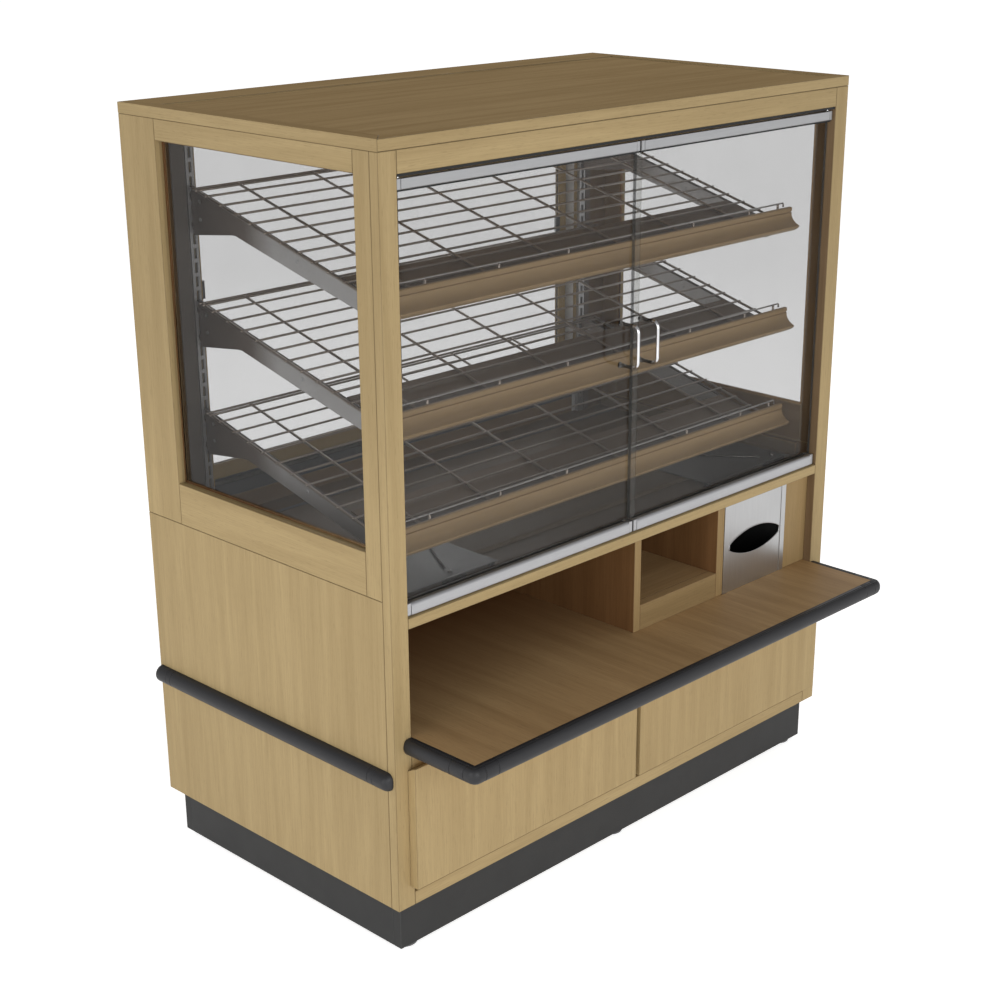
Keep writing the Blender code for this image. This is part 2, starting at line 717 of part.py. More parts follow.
def build_rear_doors(wood, glass):
    width = 20.2
    low = REAR_SILL - 0.3 + 0.03
    high = HEAD + 0.2
    spans = {"left": (REAR_OPENING[0] + 0.03, 25.69), "right": (REAR_OPENING[1] - 0.03, 25.03)}
    for side, (edge, y0) in spans.items():
        x = (edge, edge + width) if side == "left" else (edge - width, edge)
        y = (y0, y0 + 0.52)
        frame = new_object(f"rear_door_frame_{side}", shape((box_mesh, x, y, (low, high))), wood)
        inner_x = (x[0] + 0.8, x[1] - 0.8)
        cut(frame, (box_mesh, inner_x, (20.0, 30.0), (25.0, 48.9)))
        pull_x = (inner_x[0] - 0.1, inner_x[0] + 0.5)
        if side == "right":
            pull_x = (inner_x[1] - 0.5, inner_x[1] + 0.1)
        join(frame, (box_mesh, pull_x, (y0, y0 + 0.16), (37.6, 38.95)))
        pane_y = (y0 + 0.18, y0 + 0.34)
        pane_x = (inner_x[0] - 0.2, inner_x[1] + 0.2)
        slot_y = (pane_y[0] - GAP, pane_y[1] + GAP)
        cut(frame, (box_mesh, (pane_x[0] - GAP, pane_x[1] + GAP), slot_y,
                    (24.8 - GAP, 49.1 + GAP)))
        board(f"rear_door_glass_{side}", pane_x, pane_y, (24.8, 49.1), glass, 0)


# ---------------------------------------------------------------- deck plates

def build_deck_plates(look):
    for side, x in (("left", (2.1, 12.4)), ("right", (35.7, 45.95))):
        z = DECK_FRONT + GAP
        plate = new_object(f"deck_plate_{side}",
                           shape((box_mesh, x, (2.6, DECK_STEP_Y - GAP), (z, z + 0.4))), look)
        join(plate, (box_mesh, x, (DECK_STEP_Y - 0.2, 9.0), (DECK_TOP + GAP, z + 0.4)))
        pin_x = 8.41 if side == "left" else 44.98
        join(plate, (rod_mesh, (pin_x, 3.3, z + 0.1), (pin_x, 3.3, z + 0.6), 0.14, 16))
        soften(plate, 0.02)


def main():
    clear_scene()
    oak = material("oak", (0.62, 0.47, 0.27), 0.5)
    oak_dark = material("oak_counter", (0.4, 0.28, 0.15), 0.45)
    ply = material("birch_ply", (0.66, 0.54, 0.36), 0.6)
    laminate = material("black_laminate", (0.06, 0.06, 0.058), 0.55)
    rubber = material("black_rubber", (0.045, 0.045, 0.047), 0.5)
    zinc = material("zinc", (0.5, 0.5, 0.5), 0.35, 1.0)
    steel = material("brushed_steel", (0.6, 0.6, 0.6), 0.3, 1.0)
    plate = material("shelf_plate", (0.3, 0.28, 0.26), 0.4, 1.0)
    wire = material("wire", (0.32, 0.29, 0.26), 0.3, 1.0)
    aluminium = material("aluminium", (0.72, 0.72, 0.73), 0.32, 1.0)
    chrome = material("chrome", (0.8, 0.8, 0.8), 0.08, 1.0)
    glass = material("clear_glass", (0.93, 0.96, 0.95), 0.03, 0.0, 0.25)
    smoke = material("smoked_acrylic", (0.4, 0.4, 0.39), 0.3, 0.0, 0.6)
    build_kick(laminate)
    build_feet(zinc)
    build_side_panels(oak)
    build_face_frame(oak)
    build_side_frames(oak)
    build_side_glass(glass)
    build_top(oak)
    build_bottom_and_back(oak)
    build_deck(oak_dark)
    build_counter(oak_dark)
    build_counter_bumper(rubber)
    build_side_bumpers(rubber)
    build_drawers(oak, ply)
    build_cubby(oak_dark)
    build_dispenser(steel)
    build_filler(oak)
    build_shelves(wire, plate, oak)
    build_standards(zinc)
    build_doors(glass, aluminium, chrome)
    build_rear_frame(oak_dark)
    build_rear_doors(oak, glass)
    build_deck_plates(smoke)


main()
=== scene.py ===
"""Looks of the bakery display case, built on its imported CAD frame."""
import math

import bmesh
import bpy
from mathutils import Matrix, Vector


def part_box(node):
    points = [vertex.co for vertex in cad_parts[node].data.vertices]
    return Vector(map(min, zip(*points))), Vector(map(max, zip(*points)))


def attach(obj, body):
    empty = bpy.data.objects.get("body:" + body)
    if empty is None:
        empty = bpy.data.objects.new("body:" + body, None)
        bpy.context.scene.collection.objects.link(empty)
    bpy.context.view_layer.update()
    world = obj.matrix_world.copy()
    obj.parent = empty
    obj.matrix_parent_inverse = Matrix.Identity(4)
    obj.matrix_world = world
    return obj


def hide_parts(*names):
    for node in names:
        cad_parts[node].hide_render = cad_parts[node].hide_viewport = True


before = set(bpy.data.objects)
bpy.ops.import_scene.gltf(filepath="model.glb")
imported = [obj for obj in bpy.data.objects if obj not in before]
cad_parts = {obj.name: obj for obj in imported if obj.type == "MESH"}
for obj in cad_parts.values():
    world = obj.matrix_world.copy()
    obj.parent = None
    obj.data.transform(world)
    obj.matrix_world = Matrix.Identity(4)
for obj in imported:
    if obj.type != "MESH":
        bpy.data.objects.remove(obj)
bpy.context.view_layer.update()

INCH = 0.0254
CASE_TOP_IN = 52.0
_rim_low, _rim_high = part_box("top_rim")
ORIGIN = Vector((_rim_low.x, _rim_low.y, _rim_high.z - CASE_TOP_IN * INCH))
CASE = "case"
SEAM = 0.012
BOARD = 0.75
POST = 1.5
SIDES = ("left", "right")


def at(x, y, z):
    """Case inches (from the front left bottom corner of the wood) to metres."""
    return ORIGIN + Vector((x, y, z)) * INCH


def span(node):
    """A CAD node's box in case inches: (x0, x1), (y0, y1), (z0, z1)."""
    low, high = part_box(node)
    low = (low - ORIGIN) / INCH
    high = (high - ORIGIN) / INCH
    return (low.x, high.x), (low.y, high.y), (low.z, high.z)


(_, WIDTH), (_, DEPTH), RIM_Z = span("top_rim")


def flip(values, side):
    return values if side == "left" else (WIDTH - values[1], WIDTH - values[0])


# ---- node materials

class Look:
    """A small helper that wires up one procedural material, or the world."""

    def __init__(self, name, owner=bpy.data.materials, shader="Principled BSDF",
                 out="Material Output"):
        self.mat = owner.new(name)
        self.mat.use_nodes = True
        self.tree = self.mat.node_tree
        self.shader = self.tree.nodes[shader]
        self.out = self.tree.nodes[out]

    def node(self, kind, settings=None, **inputs):
        made = self.tree.nodes.new("ShaderNode" + kind)
        for key, value in (settings or {}).items():
            setattr(made, key, value)
        for key, value in inputs.items():
            which = int(key[1:]) if key[1:].isdigit() else key.replace("_", " ")
            self.put(made.inputs[which], value)
        return made

    def put(self, socket, value):
        if isinstance(value, bpy.types.NodeSocket):
            self.tree.links.new(value, socket)
        else:
            socket.default_value = value

    def set(self, **inputs):
        for key, value in inputs.items():
            self.put(self.shader.inputs[key.replace("_", " ")], value)

    def math(self, operation, a, b=0.0):
        return self.node("Math", {"operation": operation}, i0=a, i1=b).outputs[0]

    def coords(self, scale=(1.0, 1.0, 1.0), shuffle=True):
        """Object coordinates, shifted per piece so that no two boards share a pattern."""
        where = self.node("TexCoord").outputs["Object"]
        if shuffle:
            pick = self.node("ObjectInfo").outputs["Random"]
            shift = self.node("CombineXYZ", X=self.math("MULTIPLY", pick, 7.3),
                              Y=self.math("MULTIPLY", pick, 13.1),
                              Z=self.math("MULTIPLY", pick, 5.7)).outputs[0]
            where = self.node("VectorMath", {"operation": "ADD"}, i0=where, i1=shift).outputs[0]
        return self.node("Mapping", Vector=where, Scale=scale).outputs[0]

    def noise(self, vector, scale, detail=3.0, rough=0.55, warp=0.0):
        return self.node("TexNoise", Vector=vector, Scale=scale, Detail=detail, Roughness=rough,
                         Distortion=warp).outputs[0]

    def ramp(self, fac, stops):
        made = self.node("ValToRGB", Fac=fac)
        ramp = made.color_ramp
        while len(ramp.elements) < len(stops):
            ramp.elements.new(0.5)
        for element, (place, colour) in zip(ramp.elements, stops):
            element.position = place
            element.color = (*colour, 1.0) if len(colour) == 3 else (colour[0],) * 3 + (1.0,)
        return made.outputs[0]

    def mask(self, fac, start, end, top):
        """0 below start, top above end."""
        return self.ramp(fac, [(start, (0.0,)), (end, (top,))])

    def blend(self, fac, a, b):
        made = self.node("Mix", {"data_type": "RGBA"})
        self.put(made.inputs[0], fac)
        self.put(made.inputs[6], a if isinstance(a, bpy.types.NodeSocket) else (*a, 1.0))
        self.put(made.inputs[7], b if isinstance(b, bpy.types.NodeSocket) else (*b, 1.0))
        return made.outputs[2]

    def along(self, axis, start, end):
        """0 before start, 1 past end on one axis, in metres, a straight ramp between them."""
        split = self.node("SeparateXYZ", i0=self.node("TexCoord").outputs["Object"])
        place_on = split.outputs["XYZ".index(axis)]
        reach = self.math("DIVIDE", self.math("SUBTRACT", place_on, start), end - start)
        return self.mask(reach, 0.0, 1.0, 1.0)

    def bump(self, height, strength, distance=0.0005):
        made = self.node("Bump", Height=height, Strength=strength, Distance=distance)
        self.put(self.shader.inputs["Normal"], made.outputs[0])


def dim(colour, share):
    return tuple(c * share for c in colour)


def stretch(axis, along, across):
    return tuple(along if "XYZ"[i] == axis else across for i in range(3))


def wood(name, axis, light, dark, rough=0.5, figure=1.0, shade=1.0, gloss=0.15, fade=None,
         high=0.0):
    """Straight-grained veneer: broad tone drift, growth figure, fibres and short pores.

    fade = (y0, y1, share) is painted shade: it darkens the board by that share between two depths
    in metres, deeper into the case.
    high is painted shade: it darkens the board by that share towards the top of the case, where
    less light reaches.
    """
    k = Look(name)
    light = dim(light, shade)
    dark = dim(dark, shade)
    drift = k.noise(k.coords(stretch(axis, 0.25, 1.0)), 5.0, 2.0)
    growth_at = k.coords(stretch(axis, 0.055, 1.0))
    growth = k.noise(growth_at, 34.0, 4.0, 0.6, 0.6)
    rings = k.math("FRACT", k.math("MULTIPLY", k.noise(growth_at, 6.5, 1.0, 0.4, 0.2), 9.0))
    fibre = k.noise(k.coords(stretch(axis, 0.018, 1.0)), 520.0, 2.0, 0.6)
    pores = k.noise(k.coords(stretch(axis, 0.05, 1.0)), 900.0, 1.0, 0.5)
    tone = k.ramp(growth, [(0.32, dark), (0.68, light)])
    tone = k.blend(k.math("MULTIPLY", rings, 0.16 * figure), tone, dark)
    tone = k.blend(k.mask(drift, 0.3, 0.7, 0.22), tone,
                   dim(light, 1.12))
    fibre_mask = k.mask(fibre, 0.35, 0.7, 0.26)
    tone = k.blend(fibre_mask, tone, dim(dark, 0.72))
    pore_mask = k.mask(pores, 0.63, 0.72, 0.3 * figure)
    tone = k.blend(pore_mask, tone, dim(dark, 0.5))
    # painted shade: darken the board deeper into the case
    if fade:
        depth = k.math("MULTIPLY", k.along("Y", fade[0], fade[1]), fade[2])
        tone = k.blend(depth, tone, (0.160, 0.054, 0.0145))
    # painted shade: darken the upper woodwork, where less light reaches
    if high:
        tone = k.blend(k.math("MULTIPLY", k.along("Z", 0.75, 1.05), high), tone, (0.0, 0.0, 0.0))
    k.set(Base_Color=tone, Roughness=k.math("ADD", rough - 0.07, k.math("MULTIPLY", fibre, 0.2)),
          Specular_IOR_Level=gloss)
    k.bump(k.math("ADD", fibre, k.math("MULTIPLY", pore_mask, -1.6)), 0.12, 0.0004)
    return k.mat


def brushed(name, axis, base, rough, depth=0.2):
    """Metal with fine lines along one axis and faint cloudy handling marks."""
    k = Look(name)
    lines = k.noise(k.coords(stretch(axis, 0.01, 1.0)), 1500.0, 2.0, 0.6)
    marks = k.noise(k.coords(), 22.0, 4.0, 0.6)
    tone = k.blend(k.mask(lines, 0.3, 0.75, 0.35), base,
                   dim(base, 0.72))
    tone = k.blend(k.mask(marks, 0.5, 0.8, 0.2), tone,
                   dim(base, 0.85))
    level = k.math("ADD", rough, k.math("MULTIPLY", lines, 0.14))
    k.set(Base_Color=tone, Metallic=1.0,
          Roughness=k.math("ADD", level, k.math("MULTIPLY", marks, 0.08)))
    k.bump(lines, depth, 0.0002)
    return k.mat


def coated(name, base, rough, metallic=0.0, grain=900.0, depth=0.15, speckle=0.25, specular=0.4,
           fade=None):
    """Paint, laminate, plated or moulded surface: fine grain, cloudy sheen, light dust.

    fade = (y0, y1, colour) drifts to another colour between two depths in metres.
    """
    k = Look(name)
    fine = k.noise(k.coords(), grain, 2.0, 0.6)
    cloud = k.noise(k.coords(), 14.0, 4.0, 0.6)
    tone = k.blend(k.mask(fine, 0.42, 0.7, speckle), base,
                   tuple(min(1.0, c * 1.5 + 0.02) for c in base))
    tone = k.blend(k.mask(cloud, 0.4, 0.75, 0.3), tone,
                   dim(base, 0.8))
    if fade:
        tone = k.blend(k.along("Y", fade[0], fade[1]), tone, fade[2])
    level = k.math("ADD", rough - 0.05, k.math("MULTIPLY", cloud, 0.14))
    k.set(Base_Color=tone, Metallic=metallic, Specular_IOR_Level=specular,
          Roughness=k.math("ADD", level, k.math("MULTIPLY", fine, 0.06)))
    k.bump(fine, depth, 0.0002)
    return k.mat


def pane_look(name, tint, smear):
    """Thin clear sheet: tinted see-through with a mirror share that grows at grazing angles."""
    k = Look(name)
    k.tree.nodes.remove(k.shader)
    wipe = k.noise(k.coords((1.0, 1.0, 0.35)), 7.0, 4.0, 0.6, 0.8)
    clear = k.node("BsdfTransparent", Color=k.blend(
        k.mask(wipe, 0.35, 0.75, smear), tint, dim(tint, 0.97)))
    shine = k.node("BsdfGlossy", Roughness=k.math("MULTIPLY", wipe, 0.05),
                   Color=(0.96, 0.95, 0.93, 1.0))
    fresnel = k.node("Fresnel", IOR=1.45)
    share = k.math("MULTIPLY", fresnel.outputs[0], 0.06)
    both = k.node("MixShader", i0=share, i1=clear.outputs[0], i2=shine.outputs[0])
    k.put(k.out.inputs[0], both.outputs[0])
    return k.mat


def smoky(name, tint, cover):
    """Speckled half-clear sheet."""
    k = Look(name)
    grit = k.noise(k.coords(), 700.0, 2.0, 0.7)
    cloud = k.noise(k.coords(), 9.0, 3.0)
    tone = k.blend(k.mask(grit, 0.35, 0.7, 0.6), tint,
                   tuple(min(1.0, c * 1.5) for c in tint))
    k.set(Base_Color=tone, Roughness=k.math("ADD", 0.22, k.math("MULTIPLY", cloud, 0.2)),
          Alpha=k.math("ADD", cover, k.math("MULTIPLY", grit, 0.25)))
    k.bump(grit, 0.1, 0.0002)
    return k.mat


OAK_TONES = (0.460, 0.341, 0.170), (0.370, 0.267, 0.127)
TOP_TONES = (0.50, 0.352, 0.180), (0.395, 0.270, 0.130)
FACE_SHADE_TONES = (0.395, 0.272, 0.128), (0.315, 0.213, 0.095)
TAN_TONES = (0.495, 0.322, 0.155), (0.368, 0.227, 0.102)
RECESS_SHADE_TONES = (0.240, 0.122, 0.049), (0.164, 0.079, 0.029)
DECK_TONES = (0.175, 0.128, 0.080), (0.120, 0.085, 0.050)
CORNER_SHADE_TONES = (0.15, 0.098, 0.056), (0.095, 0.060, 0.034)
INNER_SHADE_TONES = (0.235, 0.158, 0.088), (0.165, 0.105, 0.055)
COVE_TONES = (0.41, 0.285, 0.145), (0.34, 0.228, 0.112)
PLY_TONES = (0.62, 0.50, 0.33), (0.50, 0.385, 0.235)

# WOOD and WOOD_EDGE carry painted shade: high darkens them towards the top of the case
WOOD = {a: wood("oak_" + a, a, *OAK_TONES, high=0.115) for a in "XYZ"}
WOOD_EDGE = {a: wood("oak_edge_" + a, a, *OAK_TONES, 0.55, 1.0, 0.7, high=0.115)
             for a in "XYZ"}
TOP = wood("oak_top_X", "X", *TOP_TONES, 0.7, gloss=0.0)
TOP_SIDE = wood("oak_top_Y", "Y", *TOP_TONES, 0.7, 1.0, 0.95, 0.0)
# painted shade: oak darkened for the front faces inside the recess, the riser (X) darker still
FACE_SHADE = {a: wood("cubby_face_" + a, a, *FACE_SHADE_TONES, shade=level)
        for a, level in (("X", 0.85), ("Z", 1.0))}
# recess oak: oak darkened with painted shade for the faces inside the recess
RECESS_SHADE = {a: wood("recess_oak_" + a, a, *RECESS_SHADE_TONES, 0.46, gloss=0.2) for a in "XZ"}
# TAN carries painted shade: its fade darkens the counter oak deeper into the recess and case
TAN = {a: wood("counter_oak_" + a, a, *TAN_TONES, 0.46, gloss=0.2,
               fade=(-0.22, 0.12, 0.85)) for a in "XYZ"}
CUBBY_FLOOR = wood("cubby_floor_oak", "X", *TAN_TONES, 0.46, gloss=0.2)
TAN_EDGE = {a: wood("counter_oak_edge_" + a, a, *TAN_TONES, 0.5, 1.0, 0.6) for a in "XYZ"}
DECK = wood("deck_oak", "X", *DECK_TONES, 0.45, gloss=0.08)
# corner oak: oak in deep painted shade for the boards in the gap behind the side frames
CORNER_SHADE = wood("corner_oak", "Z", *CORNER_SHADE_TONES, 0.5)
# inner oak: painted shade for faces turned to the dim inside of the case
INNER_SHADE = {a: wood("inner_oak_" + a, a, *INNER_SHADE_TONES) for a in "XYZ"}
COVE = wood("moulding_oak", "X", *COVE_TONES, 0.42)
PLY = {a: wood("birch_" + a, a, *PLY_TONES, 0.58, 0.5) for a in "XY"}
RUBBER = coated("bumper_rubber", (0.019, 0.019, 0.021), 0.42, 0.0, 1400.0, 0.12, 0.2, 0.4)
LAMINATE = coated("kick_laminate", (0.027, 0.027, 0.0265), 0.5, 0.0, 1100.0, 0.2, 0.3, 0.3)
LAMINATE_EDGE = coated("kick_edge", (0.045, 0.045, 0.044), 0.55, 0.0, 1100.0, 0.2, 0.3, 0.4)
ZINC = coated("zinc_plate", (0.42, 0.42, 0.42), 0.34, 0.85, 600.0, 0.15, 0.35)
ZINC_DARK = coated("zinc_shadow", (0.22, 0.22, 0.22), 0.42, 0.85, 600.0, 0.15, 0.35)
# painted shade: the bracket plate's fade turns it dark brown-grey towards its rear, deep inside the
# case
PLATE = coated("bracket_plate", (0.43, 0.42, 0.41), 0.36, 0.6, 420.0, 0.2, 0.4, 0.4,
               (0.13, 0.21, (0.150, 0.122, 0.104)))
BRACKET_TOP = coated("bracket_top", (0.10, 0.088, 0.078), 0.4, 0.6, 420.0, 0.2, 0.5)
SEAL = pane_look("seal_strip", (0.86, 0.86, 0.85), 0.4)
SHEET = coated("shelf_sheet", (0.160, 0.150, 0.138), 0.36, 0.3, 330.0, 0.2, 0.7, 0.25,
               (-0.122, -0.098, (0.165, 0.115, 0.072)))
STOP = coated("stop_wire", (0.52, 0.50, 0.48), 0.24, 0.95, 1300.0, 0.1, 0.3)
JAMB = coated("jamb_metal", (0.52, 0.52, 0.52), 0.42, 0.3, 700.0, 0.1, 0.2)
CHANNEL = coated("dark_channel", (0.098, 0.082, 0.069), 0.48, 0.1, 700.0, 0.1, 0.3)
WIRE = coated("nickel_wire", (0.33, 0.285, 0.245), 0.28, 0.9, 1300.0, 0.1, 0.3)
# painted shade: chrome darkened to stand for the dark case it mirrors, on handle arms, mounts and
# deck stays
SHADED_CHROME = coated("handle_arm", (0.16, 0.15, 0.14), 0.2, 0.9, 1600.0, 0.03, 0.2)
CHROME = coated("bright_chrome", (0.82, 0.82, 0.83), 0.10, 1.0, 1600.0, 0.03, 0.1)
RAIL = brushed("satin_aluminium", "X", (0.55, 0.55, 0.56), 0.26)
# painted shade: the top rails' aluminium is a slightly darker copy of the bottom rails'
RAIL_SHADED = brushed("grey_aluminium", "X", (0.50, 0.503, 0.510), 0.3)
STEEL = brushed("brushed_steel", "Z", (0.60, 0.60, 0.60), 0.22)
# black rubber for seals and studs; on rail_top_shadow and the dispenser box it is painted shade, a
# black sheet where the gaps hold only shade
SEAL_AND_SHADE = coated("dark_gasket", (0.012, 0.012, 0.012), 0.6, 0.0, 1200.0, 0.2)
# track metal; on the deck strip it is a painted reflection
BLUE_GREY = coated("track_metal", (0.085, 0.089, 0.097), 0.45, 0.3, 800.0, 0.15, 0.3)
PANE = pane_look("clear_pane", (0.850, 0.850, 0.850), 0.4)
PANE_EDGE = smoky("pane_edge", (0.07, 0.072, 0.07), 0.6)
SMOKE = smoky("smoked_sheet", (0.085, 0.083, 0.080), 0.5)


# ---- geometry helpers

FACING = 0.9


def place(name, bm, looks, body, nodes=(), slot=None, angle=40, bevel=0.0):
    bmesh.ops.remove_doubles(bm, verts=bm.verts, dist=1e-6)
    bmesh.ops.recalc_face_normals(bm, faces=bm.faces)
    mesh = bpy.data.meshes.new(name)
    bm.to_mesh(mesh)
    bm.free()
    item = bpy.data.objects.new(name, mesh)
    bpy.context.scene.collection.objects.link(item)
    for look in looks if isinstance(looks, (list, tuple)) else [looks]:
        mesh.materials.append(look)
    mesh.shade_smooth()
    if bevel:
        edge = item.modifiers.new("edge", "BEVEL")
        edge.width = bevel * INCH
        edge.segments = 3
        edge.limit_method = "ANGLE"
        edge.angle_limit = math.radians(35)
        edge.harden_normals = True
        if len(mesh.materials) > 1:
            edge.material = 1
    else:
        mesh.set_sharp_from_angle(angle=math.radians(angle))
    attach(item, body)
    if nodes:
        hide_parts(*([nodes] if isinstance(nodes, str) else nodes))


def add_box(bm, x, y, z, index=0):
    low, high = at(x[0], y[0], z[0]), at(x[1], y[1], z[1])
    made = bmesh.ops.create_cube(bm, size=1.0)
    size = Matrix.Diagonal((*(high - low), 1.0))
    bmesh.ops.transform(bm, matrix=Matrix.Translation((low + high) / 2) @ size,
                        verts=made["verts"])
    for face in {f for v in made["verts"] for f in v.link_faces}:
        face.material_index = index


def boxes(name, parts, looks, body=CASE, nodes=(), slot=None, angle=40, bevel=0.0, pick=None):
    """One piece made of boxes. pick(normal) chooses each face's material."""
    bm = bmesh.new()
    for x, y, z in parts:
        add_box(bm, x, y, z)
    if pick:
        paint(bm, pick)
    place(name, bm, looks, body, nodes, slot, angle, bevel)


def paint(bm, pick):
    bm.normal_update()
    for face in bm.faces:
        face.material_index = pick(face.normal)


def slab(name, x, y, z, looks, body=CASE, nodes=(), slot=None, bevel=0.045, pick=None):
    boxes(name, [(x, y, z)], looks, body, nodes, slot, bevel=bevel, pick=pick)


def lined(name, x, y, z, axis, side, nodes=()):
    """Oak board of a side wall whose face to the display is darkened with painted shade, for the
    dim inside of the case.
    """
    inward = 1.0 if side == "left" else -1.0
    slab(name, x, y, z, oak(axis) + [INNER_SHADE[axis]], CASE, nodes, "oak",
         pick=lambda normal: 2 if normal.x * inward > FACING else 0)


def faced(name, x, y, z, axis, nodes=()):
    """Counter-oak board in the recess: its face to the customer takes oak with painted shade, its
    top the counter oak, and its other faces the darker recess oak, which is painted shade too.
    """
    slab(name, x, y, z, [RECESS_SHADE[axis], TAN_EDGE[axis], FACE_SHADE[axis], TAN[axis]], CASE, nodes,
         bevel=0.03, pick=lambda normal: 2 if normal.y < -FACING else 3 if normal.z > FACING else 0)


def oak(axis):
    return [WOOD[axis], WOOD_EDGE[axis]]


def tan(axis):
    return [TAN[axis], TAN_EDGE[axis]]


def add_prism(bm, outline, low, high, axis="X", index=0):
    """Extrude a closed outline along one axis. Outline order: the other two axes."""
    def corner(a, b, c):
        if axis == "X":
            return at(c, a, b)
        if axis == "Y":
            return at(a, c, b)
        return at(a, b, c)
    near = [bm.verts.new(corner(a, b, low)) for a, b in outline]
    far = [bm.verts.new(corner(a, b, high)) for a, b in outline]
    faces = [bm.faces.new(near), bm.faces.new(list(reversed(far)))]
    count = len(outline)
    for i in range(count):
        j = (i + 1) % count
        faces.append(bm.faces.new((near[i], far[i], far[j], near[j])))
    for face in faces:
        face.material_index = index


def prism(name, outline, reach, looks, body=CASE, nodes=(), slot=None, axis="X", angle=40,
          bevel=0.0):
    bm = bmesh.new()
    add_prism(bm, outline, *reach, axis)
    place(name, bm, looks, body, nodes, slot, angle, bevel)


def sweep(name, rings, looks, body=CASE, nodes=(), slot=None, angle=40):
    bm = bmesh.new()
    add_sweep(bm, rings)
    place(name, bm, looks, body, nodes, slot, angle)


def circle(radius, sides):
    return [(radius * math.cos(t), radius * math.sin(t))
            for t in (2 * math.pi * s / sides for s in range(sides))]


def add_sweep(bm, rings, index=0):
    loops = [[bm.verts.new(at(*p)) for p in ring] for ring in rings]
    count = len(loops[0])
    faces = [bm.faces.new(loops[0]), bm.faces.new(list(reversed(loops[-1])))]
    for first, second in zip(loops, loops[1:]):
        for i in range(count):
            j = (i + 1) % count
            faces.append(bm.faces.new((first[i], second[i], second[j], first[j])))
    for face in faces:
        face.material_index = index


def add_tube(bm, points, radius, sides=12):
    """Round wire through a list of points, with slightly domed ends."""
    path = [Vector(p) for p in points]
    tangents = []
    for i, point in enumerate(path):
        before = (point - path[i - 1]).normalized() if i else Vector()
        after = (path[i + 1] - point).normalized() if i + 1 < len(path) else Vector()
        tangents.append((before + after).normalized())
    side = tangents[0].orthogonal().normalized()
    rings = []
    dome = radius * 0.35
    stops = [(0, 0.7)] + [(i, 1.0) for i in range(len(path))] + [(len(path) - 1, 0.7)]
    for order, (i, grow) in enumerate(stops):
        tangent = tangents[i]
        side = (side - tangent * side.dot(tangent)).normalized()
        up = tangent.cross(side)
        centre = path[i].copy()
        if order == 1:
            centre += tangent * dome
        if order == len(stops) - 2:
            centre -= tangent * dome
        rings.append([tuple(centre + (side * a + up * b) * grow)
                      for a, b in circle(radius, sides)])
    add_sweep(bm, rings)


def add_lathe(bm, centre, profile, sides=28, index=0):
    """Solid of revolution about a vertical axis from (radius, z) pairs, closed at both ends."""
    rings = []
    for radius, z in profile:
        rings.append([(centre[0] + a, centre[1] + b, z) for a, b in circle(radius, sides)])
    add_sweep(bm, rings, index)


def arc(cx, cy, radius, start, end, steps):
    turn = [math.radians(start + (end - start) * i / steps) for i in range(steps + 1)]
    return [(cx + radius * math.cos(t), cy + radius * math.sin(t)) for t in turn]


# ---- base and feet

FEET = 6
LEG = 1.7


def build_kick():
    x, y, z = span("kick_base")
    looks = [LAMINATE, LAMINATE_EDGE]
    slab("kick_front", x, (y[0], y[0] + BOARD), z, looks, nodes="kick_base", bevel=0.03)
    slab("kick_rear", x, (y[1] - BOARD, y[1]), z, looks, bevel=0.03)
    for side in SIDES:
        slab(f"kick_{side}", flip((x[0], x[0] + BOARD), side),
             (y[0] + BOARD + SEAM, y[1] - BOARD - SEAM), z, looks, bevel=0.03)
    blocks = []
    for number in range(1, FEET + 1):
        foot_x, foot_y, _ = span(f"leveller_{number}")
        mid_x, mid_y = sum(foot_x) / 2, sum(foot_y) / 2
        for near, far in ((-0.9, -0.26), (0.26, 0.9)):
            blocks.append(((mid_x + near, mid_x + far), (mid_y - 0.42, mid_y + 0.42),
                           (-LEG, -0.1)))
    boxes("kick_blocks", blocks, [PLY["X"]], bevel=0.03)


def build_feet():
    for number in range(1, FEET + 1):
        node = f"leveller_{number}"
        x, y, (base, stem_top) = span(node)
        centre = (sum(x) / 2, sum(y) / 2)
        bm = bmesh.new()
        reach = (x[1] - x[0]) / 2 - 0.15
        pad = [(reach - 0.15, base), (reach - 0.04, base + 0.01), (reach, base + 0.05),
               (reach, base + 0.12), (reach - 0.05, base + 0.17), (0.55, base + 0.2),
               (0.42, base + 0.22), (0.2, base + 0.22)]
        add_lathe(bm, centre, pad, 40, 1)
        leg = LEG - SEAM
        hexagon = [(centre[0] + a, centre[1] + b) for a, b in circle(0.39, 6)]
        add_prism(bm, hexagon, base + 0.225, -leg, "Z", 0)
        thread = []
        z = -leg + 0.005
        while z < stem_top - 0.06:
            thread += [(0.185, z), (0.215, z + 0.028)]
            z += 0.056
        thread += [(0.185, z), (0.15, min(z + 0.03, stem_top))]
        add_lathe(bm, centre, thread, 20, 0)
        place(f"foot_{number}", bm, [ZINC, ZINC_DARK], f"foot_{number}", node, "zinc", 30)


# ---- wooden case

HEAD_Z = 49.8


